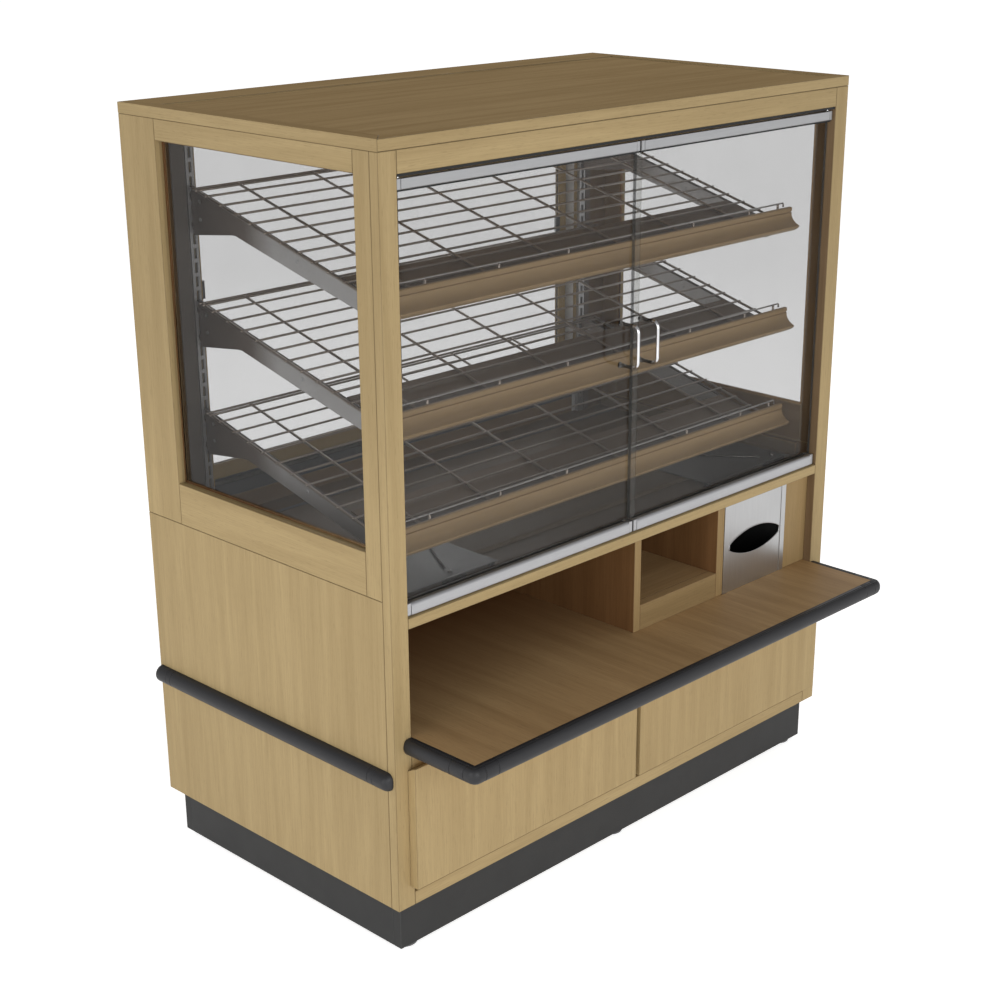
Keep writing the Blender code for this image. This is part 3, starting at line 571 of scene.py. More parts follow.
def build_case():
    for side in SIDES:
        node = f"side_panel_{side}"
        _, y, z = span(node)
        lined(f"panel_{side}", flip((0.0, BOARD), side), y, z, "Z", side, node)
        slab(f"runner_{side}", flip((0.76, 2.6), side), (1.2, 22.0), (1.05, 1.6), [PLY["Y"]])
        build_side_frame(side)
    _, y, z = span("face_frame")
    lined("post_left", (0.0, POST), y, z, "Z", "left", "face_frame")
    lined("post_right", (WIDTH - POST, WIDTH), y, z, "Z", "right")
    inner = (POST + SEAM, WIDTH - POST - SEAM)
    slab("rail_top", inner, y, (HEAD_Z, z[1]), oak("X"), slot="oak")
    # painted shadow: a black strip in the gap above the door rails
    slab("rail_top_shadow", (1.56, WIDTH - 1.56), (0.06, 0.26), (49.62, 49.79), SEAL_AND_SHADE, bevel=0.02)
    slab("rail_bottom", inner, y, (0.0, 1.0), oak("X"), slot="oak")
    slab("rail_middle", inner, y, (9.95, 11.538), oak("X"), slot="oak")
    x, y, z = span("bottom_panel")
    slab("floor_board", x, y, z, oak("X"), nodes="bottom_panel")
    x, y, z = span("back_panel")
    # the back board's face to the display takes the recess oak: painted shade
    slab("back_board", x, y, z, oak("X") + [RECESS_SHADE["X"]], CASE, "back_panel", "oak",
         pick=lambda normal: 2 if normal.y < -FACING else 0)
    x, y, z = span("centre_partition")
    mid = WIDTH / 2
    slab("partition", (mid - 0.38, mid + 0.38), y, z, oak("Z"), nodes="centre_partition")
    for side in SIDES:
        slab(f"partition_runner_{side}", flip((mid - 1.4, mid - 0.39), side), (1.2, 22.0),
             (1.05, 1.6), [PLY["Y"]])


def build_side_frame(side):
    node = f"side_frame_{side}"
    _, y, z = span(node)
    x = flip((0.0, BOARD), side)
    front, rear, sill, head = 2.25, 22.28, 25.7, HEAD_Z
    lined(f"stile_front_{side}", x, (y[0], front), z, "Z", side, node)
    lined(f"stile_rear_{side}", x, (rear, y[1]), z, "Z", side)
    rails = (front + SEAM, rear - SEAM)
    lined(f"side_rail_top_{side}", x, rails, (head, z[1]), "Y", side)
    lined(f"side_rail_low_{side}", x, rails, (z[0], sill), "Y", side)
    bead(side, front, rear, sill, head)


def bead(side, front, rear, sill, head):
    """Thin glazing bead that frames the side pane inside the case; its counter oak carries painted
    shade that darkens it deeper into the case.
    """
    x = flip((0.58, 0.72), side)
    d = 0.16
    boxes(f"bead_{side}", [(x, (front, front + d), (sill, head)),
                           (x, (rear - d, rear), (sill, head)),
                           (x, (front + d, rear - d), (sill, sill + d)),
                           (x, (front + d, rear - d), (head - d, head))], tan("Z"), bevel=0.02)


def build_top():
    rim = 1.25
    rear = 23.0
    inner = WIDTH - rim
    g = 0.006
    outlines = {
        "front": (((g, 0), (WIDTH - g, 0), (inner - g, rim), (rim + g, rim)), "X"),
        "left": (((0, g), (rim, rim + g), (rim, rear), (g, DEPTH - g), (0, DEPTH - g)), "Y"),
        "right": (((WIDTH, g), (WIDTH, DEPTH - g), (WIDTH - g, DEPTH - g), (inner, rear),
                   (inner, rim + g)), "Y"),
        "rear": (((rim + g, rear), (inner - g, rear), (WIDTH - 2 * g, DEPTH), (2 * g, DEPTH)), "X"),
    }
    for where, (outline, axis) in outlines.items():
        bm = bmesh.new()
        add_prism(bm, outline, *RIM_Z, axis="Z")
        paint(bm, lambda normal: 2 if abs(normal.z) > FACING else 0)
        nodes = "top_rim" if where == "front" else ()
        place(f"top_rim_{where}", bm, oak(axis) + [TOP if axis == "X" else TOP_SIDE], CASE, nodes,
              "oak", bevel=0.04)
    slab("top_board", *span("top_panel"), [TOP, WOOD_EDGE["X"]], nodes="top_panel", slot="oak",
         bevel=0.06)


def build_deck():
    x, y, z = span("display_deck")
    front_top = 21.25
    slab("deck_front_rail", (POST + SEAM, WIDTH - POST - SEAM), (0.0, 0.74), (z[0], front_top),
         oak("X"),
         nodes="display_deck", slot="oak")
    step = 5.1
    slab("deck_front_board", x, (0.77, step - SEAM), (z[0], front_top), [DECK, TAN_EDGE["X"]],
         bevel=0.02)
    round_over = 0.22
    outline = [(step, z[0]), (y[1], z[0]), (y[1], z[1])]
    outline += arc(step + round_over, z[1] - round_over, round_over, 90, 180, 6)
    prism("deck_main_board", outline, x, DECK, angle=30)
    # painted reflection: a dark blue-grey strip on the deck for the rear track mirrored in the
    # glossy deck
    slab("deck_strip", (x[0] + 0.1, x[1] - 0.1), (21.7, 22.1), (z[1] + 0.005, z[1] + 0.06),
         BLUE_GREY, bevel=0.015)
    for side in SIDES:
        slab(f"deck_trim_{side}", flip((x[0], x[0] + 0.45), side), (2.3, 23.7),
             (z[1] + 0.005, z[1] + 1.0), [DECK, TAN_EDGE["Y"]], bevel=0.05)


# ---- counter and bumpers

def counter_profile(steps=14):
    """(outward, z) outline: flat lip, a fine groove, then the round nose."""
    _, _, (low, high) = span("counter_bumper")
    z = (low + 0.11, high)
    mid, half = (z[0] + z[1]) / 2, (z[1] - z[0]) / 2
    out = 0.75
    lip = 0.34
    points = [(SEAM, z[0]), (SEAM, z[1]), (lip - 0.05, z[1]), (lip - 0.03, z[1] - 0.03),
              (lip - 0.005, z[1] - 0.03)]
    for i in range(1, steps):
        angle = math.pi / 2 - math.pi * i / steps
        points.append((lip + (out - lip) * math.cos(angle), mid + half * math.sin(angle)))
    points.append((lip, z[0]))
    return points


def build_counter():
    x, y, z = span("counter_top")
    inner, step = POST + SEAM, BOARD + SEAM
    outline = [(inner, y[0]), (WIDTH - inner, y[0]), (WIDTH - inner, step), (x[1], step),
               (x[1], y[1]), (x[0], y[1]), (x[0], step), (inner, step)]
    prism("counter_board", outline, z, tan("Y"), CASE, "counter_top", "oak_dark", "Z",
          bevel=0.004)
    profile = counter_profile()
    mid = sum(z) / 2
    left, front = POST, y[0]
    joints_y = (-4.33, -5.62)
    joints_x = (1.88, 3.06)

    def ring(fn, grow=1.0):
        return [fn(out if out <= SEAM else out * grow, mid + (h - mid) * (0.5 + 0.5 * grow))
                for out, h in profile]

    def on_leg(stations):
        return [ring(lambda out, h, y=y: (left - out, y, h), grow) for y, grow in stations]

    def on_front(stations):
        return [ring(lambda out, h, x=x: (x, front - out, h), grow) for x, grow in stations]

    parts = {"side": on_leg([(-SEAM, 0.95), (-0.03, 0.98), (-0.07, 0.995), (-0.13, 1.0),
                             (joints_y[0] + 0.04, 1.0), (joints_y[0] + 0.01, 0.96)])}
    y0, y1 = joints_y[0] - 0.01, joints_y[1] + 0.01
    parts["leg_side"] = on_leg([(y0, 0.96), (y0 - 0.03, 0.98), (y0 - 0.08, 1.0),
                                (y1 + 0.04, 1.0), (y1 + 0.012, 0.985), (y1, 0.96)])
    turn = []
    for k in range(13):
        angle = math.radians(90 * k / 12)

        def corner(out, h, angle=angle):
            radius = max(out - 0.1, 0.0) + 0.02
            inset = out - radius
            return (left - inset - radius * math.cos(angle),
                    front - inset - radius * math.sin(angle), h)
        turn.append(ring(corner))
    start = on_leg([(joints_y[1] - 0.01, 0.96), (joints_y[1] - 0.04, 1.0)])
    stop = on_front([(joints_x[0] - 0.04, 1.0), (joints_x[0] - 0.01, 0.96)])
    parts["corner"] = start + turn + stop
    parts["leg_front"] = on_front([(joints_x[0] + 0.01, 0.96), (joints_x[0] + 0.04, 1.0),
                                   (joints_x[1] - 0.04, 1.0), (joints_x[1] - 0.01, 0.96)])
    for name, rings in parts.items():
        mirrored = [[(WIDTH - a, b, c) for a, b, c in loop] for loop in rings]
        sweep(f"counter_bumper_{name}_left", rings, RUBBER, CASE,
              "counter_bumper" if name == "side" else (), "rubber", 28)
        sweep(f"counter_bumper_{name}_right", mirrored, RUBBER, slot="rubber", angle=28)
    a = joints_x[1] + 0.01
    rings = on_front([(a, 0.96), (a + 0.03, 1.0), (WIDTH - a - 0.03, 1.0), (WIDTH - a, 0.96)])
    sweep("counter_bumper_front", rings, RUBBER, slot="rubber", angle=28)


def build_side_bumpers():
    steps = 16
    for side in SIDES:
        node = f"side_bumper_{side}"
        _, y, z = span(node)
        mid, half = sum(z) / 2, (z[1] - z[0]) / 2 - 0.08
        shape = [(0.0, -1.0), (0.0, 1.0), (0.13, 0.99), (0.14, 0.95), (0.17, 0.95), (0.18, 0.984)]
        shape += [(math.cos(a), math.sin(a)) for a in
                  (math.radians(76 - 152 * i / steps) for i in range(steps + 1))]
        shape += [(0.18, -0.984), (0.17, -0.95), (0.14, -0.95), (0.13, -0.99)]
        reach = 0.7

        def ring(yy, grow):
            made = []
            for u, v in shape:
                out = SEAM + (reach - SEAM) * u * grow
                px = -out if side == "left" else WIDTH + out
                made.append((px, yy, mid + v * half * grow ** 0.7))
            return made

        turn = [math.radians(9 + 81 * i / 10) for i in range(11)]
        joints = [(1.42, 1.0), (1.45, 0.96), (1.48, 1.0), (1.93, 1.0), (1.96, 0.96)]
        cap = [(0.5 * (1 - math.cos(t)), math.sin(t)) for t in turn] + joints
        blunt = [(0.3 * (1 - math.cos(t)), math.sin(t)) for t in turn] + joints
        body = [(y[0] + 1.98, 0.96), (y[0] + 2.01, 1.0), (y[1] - 2.01, 1.0), (y[1] - 1.98, 0.96)]
        sets = {"front_cap": [(y[0] + d, g) for d, g in cap], "body": body,
                "rear_cap": [(y[1] - d, g) for d, g in blunt]}
        for name, stations in sets.items():
            sweep(f"side_bumper_{name}_{side}", [ring(*s) for s in stations], RUBBER, CASE,
                  node if name == "body" else (), "rubber", 28)


# ---- drawers

def build_drawers():
    for side in SIDES:
        body = f"drawer_{side}"
        node = f"drawer_front_{side}"
        x, y, z = span(node)
        outline = [(y[0], z[0]), (y[1], z[0]), (y[1], z[1] - 0.35), (y[0] + 0.12, z[1]),
                   (y[0], z[1])]
        prism(f"drawer_face_{side}", outline, x, oak("Z"), body, node, "oak", bevel=0.035)
        node = f"drawer_box_{side}"
        x, y, z = span(node)
        t = 0.5
        inner = (x[0] + t + SEAM, x[1] - t - SEAM)
        boxes(f"drawer_sides_{side}", [((x[0], x[0] + t), y, z), ((x[1] - t, x[1]), y, z),
                                       (inner, (y[0], y[0] + t), z),
                                       (inner, (y[1] - t, y[1]), z)],
              [PLY["Y"]], body, node, "ply", bevel=0.04)
        slab(f"drawer_floor_{side}", inner, (y[0] + t + SEAM, y[1] - t - SEAM),
             (z[0] + 0.12, z[0] + 0.4), [PLY["X"]], body, bevel=0.02)


# ---- recess fittings

def build_recess():
    x, y, z = span("cubby_box")
    faced("divider_left", (x[0], x[0] + BOARD), y, z, "Z", "cubby_box")
    faced("divider_right", (x[1] - 0.85, x[1]), y, z, "Z")
    inner = (x[0] + BOARD + SEAM, x[1] - 0.85 - SEAM)
    floor = 14.85
    faced("cubby_riser", inner, (y[0], y[0] + BOARD), (z[0], floor), "X")
    slab("cubby_floor", inner, (y[0] + BOARD + SEAM, y[1] - 0.76), (floor - BOARD, floor),
         [CUBBY_FLOOR, TAN_EDGE["X"]])
    # the cubby back is recess oak: painted shade
    slab("cubby_back", inner, (y[1] - BOARD, y[1]), z, [RECESS_SHADE["X"], TAN_EDGE["X"]])
    faced("filler", *span("filler_panel"), "Z", "filler_panel")
    build_dispenser()


def lens(cx, cz, half_w, half_h, end_h, steps=18):
    """Eye-shaped outline, cut off at both ends with slightly rounded corners."""
    drop = half_h - end_h
    radius = (half_w ** 2 + drop ** 2) / (2 * drop)
    top = []
    for i in range(steps + 1):
        x = -half_w + 2 * half_w * i / steps
        top.append((cx + x, cz + math.sqrt(radius ** 2 - x ** 2) - (radius - half_h)))
    top[0] = (top[0][0] + 0.06, top[0][1])
    top[-1] = (top[-1][0] - 0.06, top[-1][1])
    top = [(cx - half_w, cz + end_h - 0.08)] + top + [(cx + half_w, cz + end_h - 0.08)]
    return top + [(px, 2 * cz - pz) for px, pz in reversed(top)]


def build_dispenser():
    x, y, z = span("dispenser")
    front = y[0]
    eye = lens(sum(x) / 2, 16.55, 3.24, 1.07, 0.28)
    inset = 0.55
    bm = bmesh.new()
    layers = []
    for depth in (front, front + 0.07):
        outer = [bm.verts.new(at(a, depth, b)) for a, b in
                 ((x[0], z[0]), (x[1], z[0]), (x[1], z[1]), (x[0], z[1]))]
        hole = [bm.verts.new(at(a, depth, b)) for a, b in eye]
        edges = [bm.edges.new((ring[i], ring[(i + 1) % len(ring)]))
                 for ring in (outer, hole) for i in range(len(ring))]
        bmesh.ops.triangle_fill(bm, use_beauty=True, edges=edges)
        layers.append((outer, hole))
    for near, far in zip(layers[0], layers[1]):
        count = len(near)
        for i in range(count):
            j = (i + 1) % count
            bm.faces.new((near[i], near[j], far[j], far[i]))
    place("dispenser_plate", bm, STEEL, CASE, "dispenser", "steel", angle=30)
    bm = bmesh.new()
    rim = [(a, front - 0.01, b) for a, b in eye]
    add_loop(bm, rim, 0.03)
    place("dispenser_lip", bm, STEEL, CASE, slot="steel")
    flange_y = (front - 0.05, front - 0.004)
    boxes("dispenser_flanges", [((x[0], x[0] + inset), flange_y, z),
                                ((x[1] - inset, x[1]), flange_y, z)],
          STEEL, slot="steel", bevel=0.015)
    t = 0.07
    (left, right), (low, high) = (x[0] + 0.4, x[1] - 0.4), (z[0] + 0.5, z[1] - 0.5)
    inner, deep = (left + t, right - t), (front + 0.08, y[1])
    # painted shade: the dispenser's inside is black so the lens opening reads as a dark hole
    boxes("dispenser_box", [((left, left + t), deep, (low, high)),
                            ((right - t, right), deep, (low, high)),
                            (inner, deep, (low, low + t)), (inner, deep, (high - t, high)),
                            (inner, (y[1] - t, y[1]), (low + t, high - t))],
          SEAL_AND_SHADE, slot="steel")


def add_loop(bm, points, radius, sides=8):
    """Closed wire ring lying in a plane across Y."""
    count = len(points)
    path = [Vector(p) for p in points]
    rings = []
    for i in range(count):
        tangent = (path[(i + 1) % count] - path[i - 1]).normalized()
        normal = tangent.cross(Vector((0, 1, 0))).normalized()
        rings.append([bm.verts.new(at(*(path[i] + normal * a + Vector((0, b, 0)))))
                      for a, b in circle(radius, sides)])
    for i in range(count):
        first, second = rings[i], rings[(i + 1) % count]
        for s in range(sides):
            n = (s + 1) % sides
            bm.faces.new((first[s], first[n], second[n], second[s]))


# ---- shelves

BARS = (3.3, 7.0, 13.75, 20.6, 27.4, 34.25, 41.0, 44.7)
SLOPE = 0.268
STANDARD_X = 3.8
WIRE_Y, WIRE_Z = 22.5, 46.05
PITCH = 8.0


def wire_z(y, level):
    return WIRE_Z + SLOPE * (y - WIRE_Y) - PITCH * level


def build_shelves():
    for level in range(3):
        n = level + 1
        left, right = BARS[0] - 0.22, BARS[-1] + 0.22
        front, rear = 3.62, 22.82
        rows = [3.97 + 1.58 * i for i in range(12)]
        bm = bmesh.new()
        for y in rows:
            z = wire_z(y, level) + 0.04
            add_tube(bm, [(left, y, z), (24.0, y, z - 0.01), (right, y, z)], 0.082, 10)
        for y in (WIRE_Y - 0.12, WIRE_Y + 0.2):
            z = wire_z(y, level) + 0.04
            add_tube(bm, [(left, y, z), (right, y, z)], 0.085)
        place(f"shelf_rods_{n}", bm, WIRE, CASE, f"shelf_grid_{n}", "wire", angle=60)
        bm = bmesh.new()
        stop_y, stop_z = front + 0.06, 42.2 - PITCH * level
        for x in BARS:
            low = (x, front + 0.2, wire_z(front + 0.2, level) - 0.01)
            bend = (x, front + 0.08, wire_z(front + 0.08, level) + 0.03)
            add_tube(bm, [(x, rear, wire_z(rear, level)), low, bend,
                          (x, stop_y, wire_z(stop_y, level) + 0.2),
                          (x, stop_y, stop_z - 0.05)], 0.1)
        place(f"shelf_bars_{n}", bm, WIRE, CASE, slot="wire", angle=60)
        bm = bmesh.new()
        lo, hi = BARS[0] - 0.7, BARS[-1] + 0.7
        foot = 41.89 - PITCH * level
        add_tube(bm, [(lo, stop_y, foot), (lo, stop_y, stop_z - 0.1),
                      (lo + 0.08, stop_y, stop_z), (hi - 0.08, stop_y, stop_z),
                      (hi, stop_y, stop_z - 0.1), (hi, stop_y, foot)], 0.07)
        place(f"shelf_stop_{n}", bm, STOP, CASE, slot="wire", angle=60)
        build_cove(level)
        for side in SIDES:
            build_bracket(level, side)


def build_cove(level):
    node = f"price_moulding_{level + 1}"
    x, _, _ = span(node)
    d = -PITCH * level
    face = [(3.36, 41.87), (3.3, 41.86), (3.25, 41.8), (3.24, 41.56), (3.34, 41.54), (3.34, 41.47),
            (3.25, 41.45)]
    hollow = [(3.26, 41.25), (3.18, 41.05), (3.05, 40.88), (2.89, 40.74), (2.72, 40.63),
              (2.56, 40.56)]
    tip = [(2.49, 40.52), (2.475, 40.46), (2.52, 40.38)]
    under = [(2.7, 40.22), (2.96, 40.08), (3.2, 40.08), (3.54, 40.2), (3.55, 41.84), (3.52, 41.87)]
    outline = [(a, b + d) for a, b in face + hollow + tip + under]
    prism(f"cove_{level + 1}", outline, x, COVE, CASE, node, "oak", angle=34)
    sheet_x = (STANDARD_X + 0.16, WIDTH - STANDARD_X - 0.16)
    start, end = 3.57, 8.2
    drop, thick, lip = 0.15, 0.07, 0.4
    a, b = wire_z(start, level) - drop, wire_z(end, level) - drop
    sheet = [(start, a), (end - 0.06, b), (end - 0.015, b - 0.02), (end, b - 0.07), (end, b - lip),
             (end - thick, b - lip), (end - thick, b - thick - 0.02), (start, a - thick)]
    prism(f"shelf_sheet_{level + 1}", sheet, sheet_x, SHEET, slot="oak", angle=30)


def build_bracket(level, side):
    node = f"shelf_bracket_{side}_{level + 1}"
    x, _, _ = span(node)
    mid = sum(x) / 2
    under = 0.2
    rear, front = 23.77, 3.74

    def top(yy):
        return wire_z(yy, level) - under

    web = [(rear, top(rear) - 0.1), (front, top(front) - 0.1), (front, top(front) - 0.9),
           (front + 0.1, top(front) - 1.02), (front + 0.6, top(front + 0.6) - 1.42),
           (19.0, top(19.0) - 1.61), (19.3, top(19.3) - 1.68), (rear - 0.12, top(rear) - 3.42),
           (rear, top(rear) - 3.48)]
    prism(f"bracket_web_{side}_{level + 1}", web, (mid - 0.045, mid + 0.045), [PLATE, ZINC],
          CASE, node, "shelf_plate", bevel=0.015)
    flange = [(rear, top(rear)), (front, top(front)), (front, top(front) - 0.09),
              (rear, top(rear) - 0.09)]
    prism(f"bracket_flange_{side}_{level + 1}", flange, (mid - 0.135, mid + 0.135), BRACKET_TOP,
          slot="shelf_plate", bevel=0.02)
    bm = bmesh.new()
    for yy, zz in ((22.85, top(22.85) - 2.0), (22.85, top(22.85) - 0.75), (12.5, top(12.5) - 0.7)):
        for sign in (-1, 1):
            button = [(mid + sign * 0.046, 0.14), (mid + sign * 0.075, 0.14),
                      (mid + sign * 0.1, 0.09)]
            add_sweep(bm, [[(px, yy + a, zz + b) for a, b in circle(r, 16)] for px, r in button])
    place(f"bracket_rivets_{side}_{level + 1}", bm, ZINC, CASE, slot="shelf_plate")
    bm = bmesh.new()
    for step in (21, 23):
        zz = 22.45 + step - PITCH * level
        hook = [(rear - 0.3, zz + 0.2), (rear + 0.2, zz + 0.2), (rear + 0.2, zz - 0.25),
                (rear + 0.12, zz - 0.25), (rear + 0.12, zz - 0.1), (rear - 0.3, zz - 0.1)]
        add_prism(bm, hook, mid - 0.04, mid + 0.04)
    place(f"bracket_hooks_{side}_{level + 1}", bm, [PLATE, ZINC], CASE, slot="shelf_plate",
          bevel=0.01)


# ---- doors

RAIL_END = 0.35


def build_pane(name, x, y, z, body, node, thin="Y"):
    """Glass sheet whose two big faces are clear and whose edges are darker."""
    axis = "XYZ".index(thin)
    boxes(name, [(x, y, z)], [PANE, PANE_EDGE], body, node, "glass",
          pick=lambda normal: 0 if abs(normal[axis]) > FACING else 1)


def build_side_glass():
    for side in SIDES:
        node = f"side_glass_{side}"
        build_pane(f"side_pane_{side}", *span(node), CASE, node, "X")


def build_doors():
    for side in SIDES:
        body = f"door_{side}"
        node = f"door_glass_{side}"
        x, y, z = span(node)
        build_pane(f"door_pane_{side}", x, y, z, body, node)
        pivot = (1.97 if side == "left" else WIDTH - 1.97, 0.48)
        build_bottom_rail(side, body, x, pivot)
        build_top_rail(side, body, x, pivot)
        build_handle(side, body)
    slab("door_seal", (24.08, 24.57), (0.54, 0.592), (22.25, 48.78), SEAL, "door_right",
         bevel=0.01)


def rail_ends(x, y, z):
    return [((x[0], x[0] + RAIL_END), y, z), ((x[1] - RAIL_END, x[1]), y, z)]


def build_bottom_rail(side, body, x, pivot):
    node = f"door_rail_bottom_{side}"
    _, y, z = span(node)
    low, high = 21.31, 22.2
    nose = arc(y[0] + 0.3, high - 0.32, 0.3, 180, 95, 8)
    outline = [(y[0], low + 0.03), (y[0] + 0.03, low)]
    outline += [(y[1] - 0.03, low), (y[1], low + 0.03), (y[1], high - 0.03), (y[1] - 0.03, high),
                (0.83, high), (0.81, high - 0.4), (0.59, high - 0.4), (0.57, high)]
    outline += list(reversed(nose))
    reach = (x[0] + RAIL_END + 0.01, x[1] - RAIL_END - 0.01)
    prism(f"rail_low_{side}", outline, reach, RAIL, body, node, "aluminium", angle=30)
    boxes(f"rail_low_ends_{side}", rail_ends(x, (y[0] + 0.01, y[1]), (low, high - 0.02)),
          [RAIL, ZINC], body, slot="aluminium", bevel=0.05)
    pin(f"pin_low_{side}", body, pivot, z[0] + 0.02, low + 0.02)


def build_top_rail(side, body, x, pivot):
    node = f"door_rail_top_{side}"
    _, y, z = span(node)
    low, high = 48.8, 49.5
    outline = [(y[0], low + 0.05), (y[0] + 0.05, low), (0.57, low), (0.59, low + 0.5),
               (0.81, low + 0.5), (0.83, low), (y[1], low), (y[1], high), (y[0] + 0.05, high),
               (y[0], high - 0.05)]
    reach = (x[0] + RAIL_END + 0.01, x[1] - RAIL_END - 0.01)
    prism(f"rail_high_{side}", outline, reach, RAIL_SHADED, body, node, "aluminium", angle=30)
    boxes(f"rail_high_ends_{side}", rail_ends(x, y, (low, high)), [RAIL_SHADED, ZINC_DARK], body,
          slot="aluminium", bevel=0.04)
    slab(f"rail_high_seal_{side}", (x[0] + 0.05, x[1] - 0.05), (y[0] + 0.1, 0.56),
         (low - 0.12, low - 0.004), SEAL_AND_SHADE, body, bevel=0.01)
    pin(f"pin_high_{side}", body, pivot, high - 0.02, z[1] - 0.02)


def pin(name, body, pivot, low, high):
    bm = bmesh.new()
    add_lathe(bm, pivot, [(0.08, low), (0.115, low + 0.03), (0.115, high - 0.03), (0.08, high)],
              20)
    place(name, bm, CHROME, body, slot="aluminium")


def build_handle(side, body):
    node = f"door_handle_{side}"
    x, _, _ = span(node)
    cx = sum(x) / 2
    glass_face = 0.6 - SEAM
    low, high = 33.95, 36.95
    reach = -0.8
    bend = 0.45
    path = [(glass_face - 0.05, low)]
    path += arc(reach + bend, low + bend, bend, -90, -180, 10)
    path += arc(reach + bend, high - bend, bend, 180, 90, 10)
    path += [(glass_face - 0.05, high)]
    bm = bmesh.new()
    add_tube(bm, [(cx, a, b) for a, b in path], 0.12, 18)
    # the arms near the glass take the darkened chrome: painted shade
    for face in bm.faces:
        if (face.calc_center_median() - ORIGIN).y > (reach + bend) * INCH:
            face.material_index = 1
    for z in (low, high):
        add_disc(bm, cx, z, ((glass_face, 0.17), (glass_face - 0.05, 0.17),
                             (glass_face - 0.07, 0.15), (glass_face - 0.07, 0.11)), 24, 1)
    place(f"handle_{side}", bm, [CHROME, SHADED_CHROME], body, node, "chrome", 45)
    bm = bmesh.new()
    back = 0.8 + SEAM
    for z in (low, high):
        add_disc(bm, cx, z, ((back, 0.22), (back + 0.06, 0.22), (back + 0.1, 0.17)), 20)
    place(f"handle_caps_{side}", bm, SHADED_CHROME, body, slot="chrome", angle=45)


def add_disc(bm, x, z, stations, sides, index=0):
    """Round washer along Y from (y, radius) pairs."""
    add_sweep(bm, [[(x + a, y, z + b) for a, b in circle(radius, sides)]
                   for y, radius in stations], index)


# ---- rear of the display

def comb(y, flat, edge, groove):
    """Outline of a board with two grooves for the sliding doors cut into its edge."""
    return [(y[0], flat), (y[1], flat), (y[1], edge), (26.24, edge), (26.24, groove),
            (25.66, groove), (25.66, edge), (25.58, edge), (25.58, groove), (25.0, groove),
            (25.0, edge), (y[0], edge)]


def build_rear():
    x, y, z = span("rear_frame")
    top_z = z[1]
    frame_y = (24.185, y[1])
    for side, channel in (("left", 2.25), ("right", 2.85)):
        # the corner boards are painted in deep shade
        slab(f"corner_board_{side}", flip((x[0], 3.35), side), (y[0], 24.17), z,
             [CORNER_SHADE, WOOD["Z"]], nodes="rear_frame" if side == "left" else (), bevel=0.05)
        slab(f"rear_post_{side}", flip((x[0], 3.4), side), frame_y, z, oak("Z"), bevel=0.04)
        slab(f"rear_jamb_{side}", flip((3.41, 4.49), side), frame_y, z, JAMB, bevel=0.03)
        slab(f"rear_channel_{side}", flip((channel, 3.4), side), (23.78, y[0] - 0.005),
             (z[0], 50.6), CHANNEL, bevel=0.03)
        slab(f"jamb_strip_{side}", flip((4.0, 4.47), side), (24.13, 24.18), (24.0, 49.6), oak("Z"),
             bevel=0.012)
    inner = (4.51, WIDTH - 4.51)
    # the rear sill is inner oak all over: painted shade
    slab("rear_sill", inner, frame_y, (z[0], 22.88), [INNER_SHADE["X"], WOOD_EDGE["X"]], bevel=0.04)
    prism("rear_track", comb(frame_y, 22.9, 23.9, 23.62), inner, BLUE_GREY, slot="oak_dark",
          angle=30)
    slab("track_seal", inner, (24.2, 24.9), (23.905, 23.98), SEAL_AND_SHADE, bevel=0.01)
    prism("rear_header", comb(frame_y, top_z, 49.6, 50.08), inner, WOOD["X"], slot="oak_dark",
          angle=30)
    for side in SIDES:
        build_rear_door(side)


def build_rear_door(side):
    body = f"rear_door_{side}"
    node = f"rear_door_frame_{side}"
    x, y, z = span(node)
    stile = 0.8
    slab(f"rear_stile_a_{side}", (x[0], x[0] + stile), y, z, oak("Z"), body, node, bevel=0.04)
    slab(f"rear_stile_b_{side}", (x[1] - stile, x[1]), y, z, oak("Z"), body, bevel=0.04)
    inner = (x[0] + stile + SEAM, x[1] - stile - SEAM)
    slab(f"rear_low_rail_{side}", inner, y, (z[0], 25.0), oak("X"), body, bevel=0.04)
    slab(f"rear_high_rail_{side}", inner, y, (48.9, z[1]), oak("X"), body, bevel=0.04)
    node = f"rear_door_glass_{side}"
    _, glass_y, _ = span(node)
    build_pane(f"rear_pane_{side}", inner, glass_y, (25.01, 48.89), body, node)
    edge = x[0] + stile if side == "left" else x[1] - stile
    pull_x = (edge - 0.1, edge + 0.5) if side == "left" else (edge - 0.5, edge + 0.1)
    slab(f"rear_pull_{side}", pull_x, (y[0], y[0] + 0.16), (37.6, 38.95), [BLUE_GREY, ZINC],
         body, bevel=0.05)


# ---- deck plates

def build_deck_plates():
    for side in SIDES:
        node = f"deck_plate_{side}"
        x, y, z = span(node)
        low_z = 21.27
        slab(f"deck_sheet_{side}", x, y, (z[0] + 0.33, z[0] + 0.4), SMOKE, nodes=node,
             slot="smoke", bevel=0.015)
        pin_x = 8.41 if side == "left" else 44.98
        bm = bmesh.new()
        add_lathe(bm, (pin_x, 3.3), [(0.1, z[0] + 0.41), (0.16, z[0] + 0.42), (0.16, z[0] + 0.5),
                                     (0.1, z[0] + 0.58)], 20)
        level = z[0] + 0.5
        ends = ((8.57, 3.98), (10.67, 7.67)) if side == "left" else ((43.7, 3.63), (40.2, 8.0))
        add_tube(bm, [(*ends[0], level), (*ends[1], level)], 0.07)
        edge_x = (7.1, 9.3) if side == "left" else (42.9, 45.7)
        add_box(bm, edge_x, (y[0] + 0.02, y[0] + 0.09), (low_z, z[0] + 0.42))
        place(f"deck_stay_{side}", bm, SHADED_CHROME, CASE, slot="chrome", angle=45)
        boxes(f"deck_studs_{side}",
              [((px - 0.15, px + 0.15), (y[0] + 0.2, y[0] + 0.5), (low_z, z[0] + 0.325))
               for px in (x[0] + 0.3, x[1] - 0.3)], SEAL_AND_SHADE, slot="smoke", bevel=0.02)


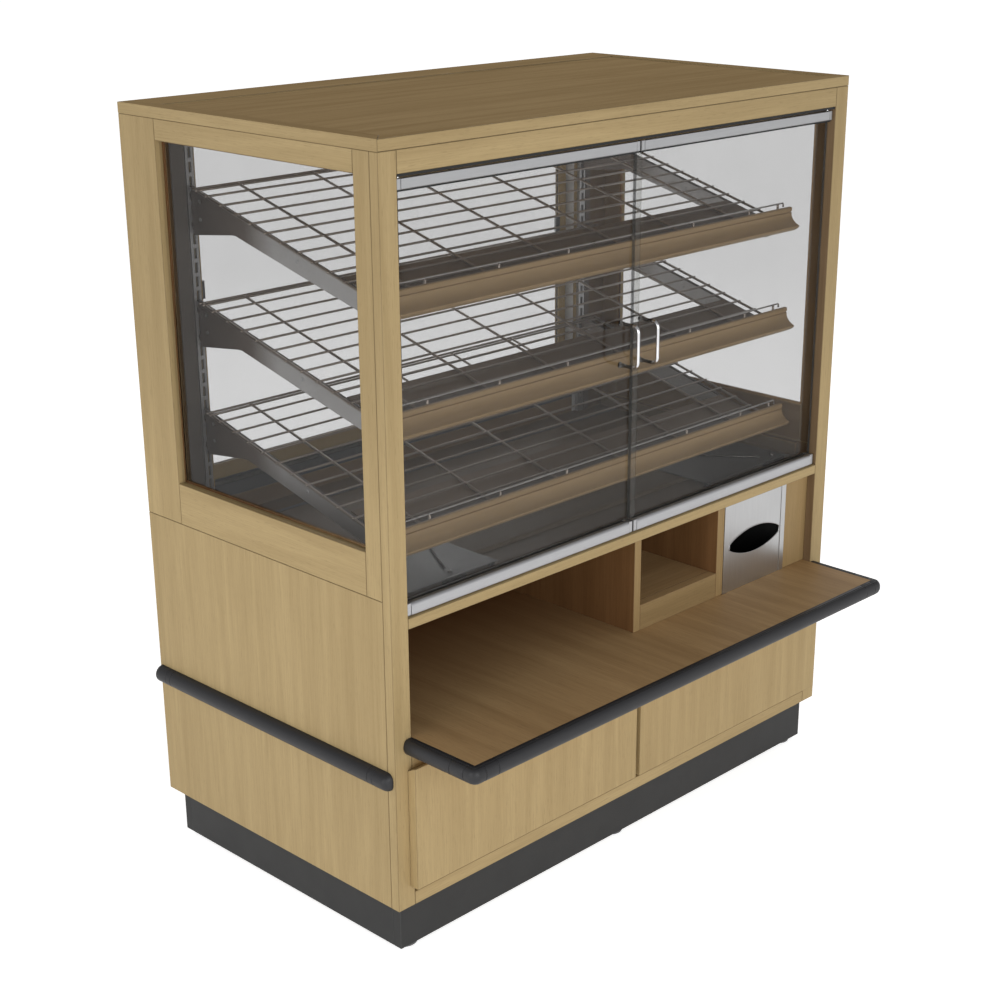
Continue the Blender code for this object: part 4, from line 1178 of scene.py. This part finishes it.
def build_standards():
    for side in SIDES:
        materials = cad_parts[f"standard_{side}"].data.materials
        materials.clear()
        materials.append(ZINC)


# ---- stage

def build_stage():
    bm = bmesh.new()
    bmesh.ops.create_grid(bm, x_segments=1, y_segments=1, size=30.0)
    mesh = bpy.data.meshes.new("floor")
    bm.to_mesh(mesh)
    bm.free()
    floor = bpy.data.objects.new("floor", mesh)
    bpy.context.scene.collection.objects.link(floor)
    k = Look("pale_floor")
    cloud = k.noise(k.coords(shuffle=False), 0.6, 2.0)
    seen = k.node("LightPath").outputs["Is Camera Ray"]
    k.set(Base_Color=k.blend(cloud, (0.84, 0.84, 0.84), (0.86, 0.86, 0.86)), Roughness=0.9,
          Specular_IOR_Level=0.1, Emission_Color=(1.0, 1.0, 1.0, 1.0),
          Emission_Strength=k.math("ADD", 0.5, k.math("MULTIPLY", seen, 0.25)))
    mesh.materials.append(k.mat)

    k = Look("studio", bpy.data.worlds, "Background", "World Output")
    bpy.context.scene.world = k.mat
    up = k.node("SeparateXYZ", i0=k.node("TexCoord").outputs["Generated"]).outputs[2]
    levels = ((0.0, 0.95), (0.18, 0.85), (0.5, 0.42), (1.0, 0.26))
    k.set(Color=k.ramp(up, [(spot, (level, level, level * 1.01)) for spot, level in levels]),
          Strength=0.9)
    backdrop = k.node("Background", Color=(1.0, 1.0, 1.0, 1.0))
    seen = k.node("LightPath").outputs["Is Camera Ray"]
    both = k.node("MixShader", i0=seen, i1=k.shader.outputs[0], i2=backdrop.outputs[0])
    k.put(k.out.inputs[0], both.outputs[0])

    area("key", (-1.6, -4.2, 1.7), 66.0, 2.4)
    area("side", (-4.2, -0.4, 1.3), 36.0, 2.2)
    area("rim", (2.6, 3.0, 2.8), 25.0, 1.6)


def area(name, where, power, size):
    light = bpy.data.lights.new(name, "AREA")
    light.energy = power
    light.size = size
    item = bpy.data.objects.new(name, light)
    item.location = where
    item.rotation_mode = "QUATERNION"
    item.rotation_quaternion = (Vector(where) - Vector((0, 0, 0.75))).to_track_quat("Z", "Y")
    bpy.context.scene.collection.objects.link(item)


def build_camera():
    data = bpy.data.cameras.new("camera")
    data.sensor_width = 36.0
    data.lens = 65.42
    data.shift_x = -0.0307
    data.shift_y = 0.0477
    camera = bpy.data.objects.new("camera", data)
    bpy.context.scene.collection.objects.link(camera)
    camera.location = at(-71.55, -80.96, 66.87)
    az, el = math.radians(-46.25), math.radians(20.54)
    back = Vector((math.sin(az) * math.cos(el), -math.cos(az) * math.cos(el), math.sin(el)))
    camera.rotation_mode = "QUATERNION"
    camera.rotation_quaternion = back.to_track_quat("Z", "Y")
    bpy.context.scene.camera = camera
    bpy.context.scene.view_settings.view_transform = "Standard"
    bpy.context.scene.cycles.transparent_max_bounces = 24


build_kick()
build_feet()
build_case()
build_top()
build_deck()
build_counter()
build_side_bumpers()
build_drawers()
build_recess()
build_shelves()
build_side_glass()
build_doors()
build_rear()
build_deck_plates()
build_standards()
build_stage()
build_camera()
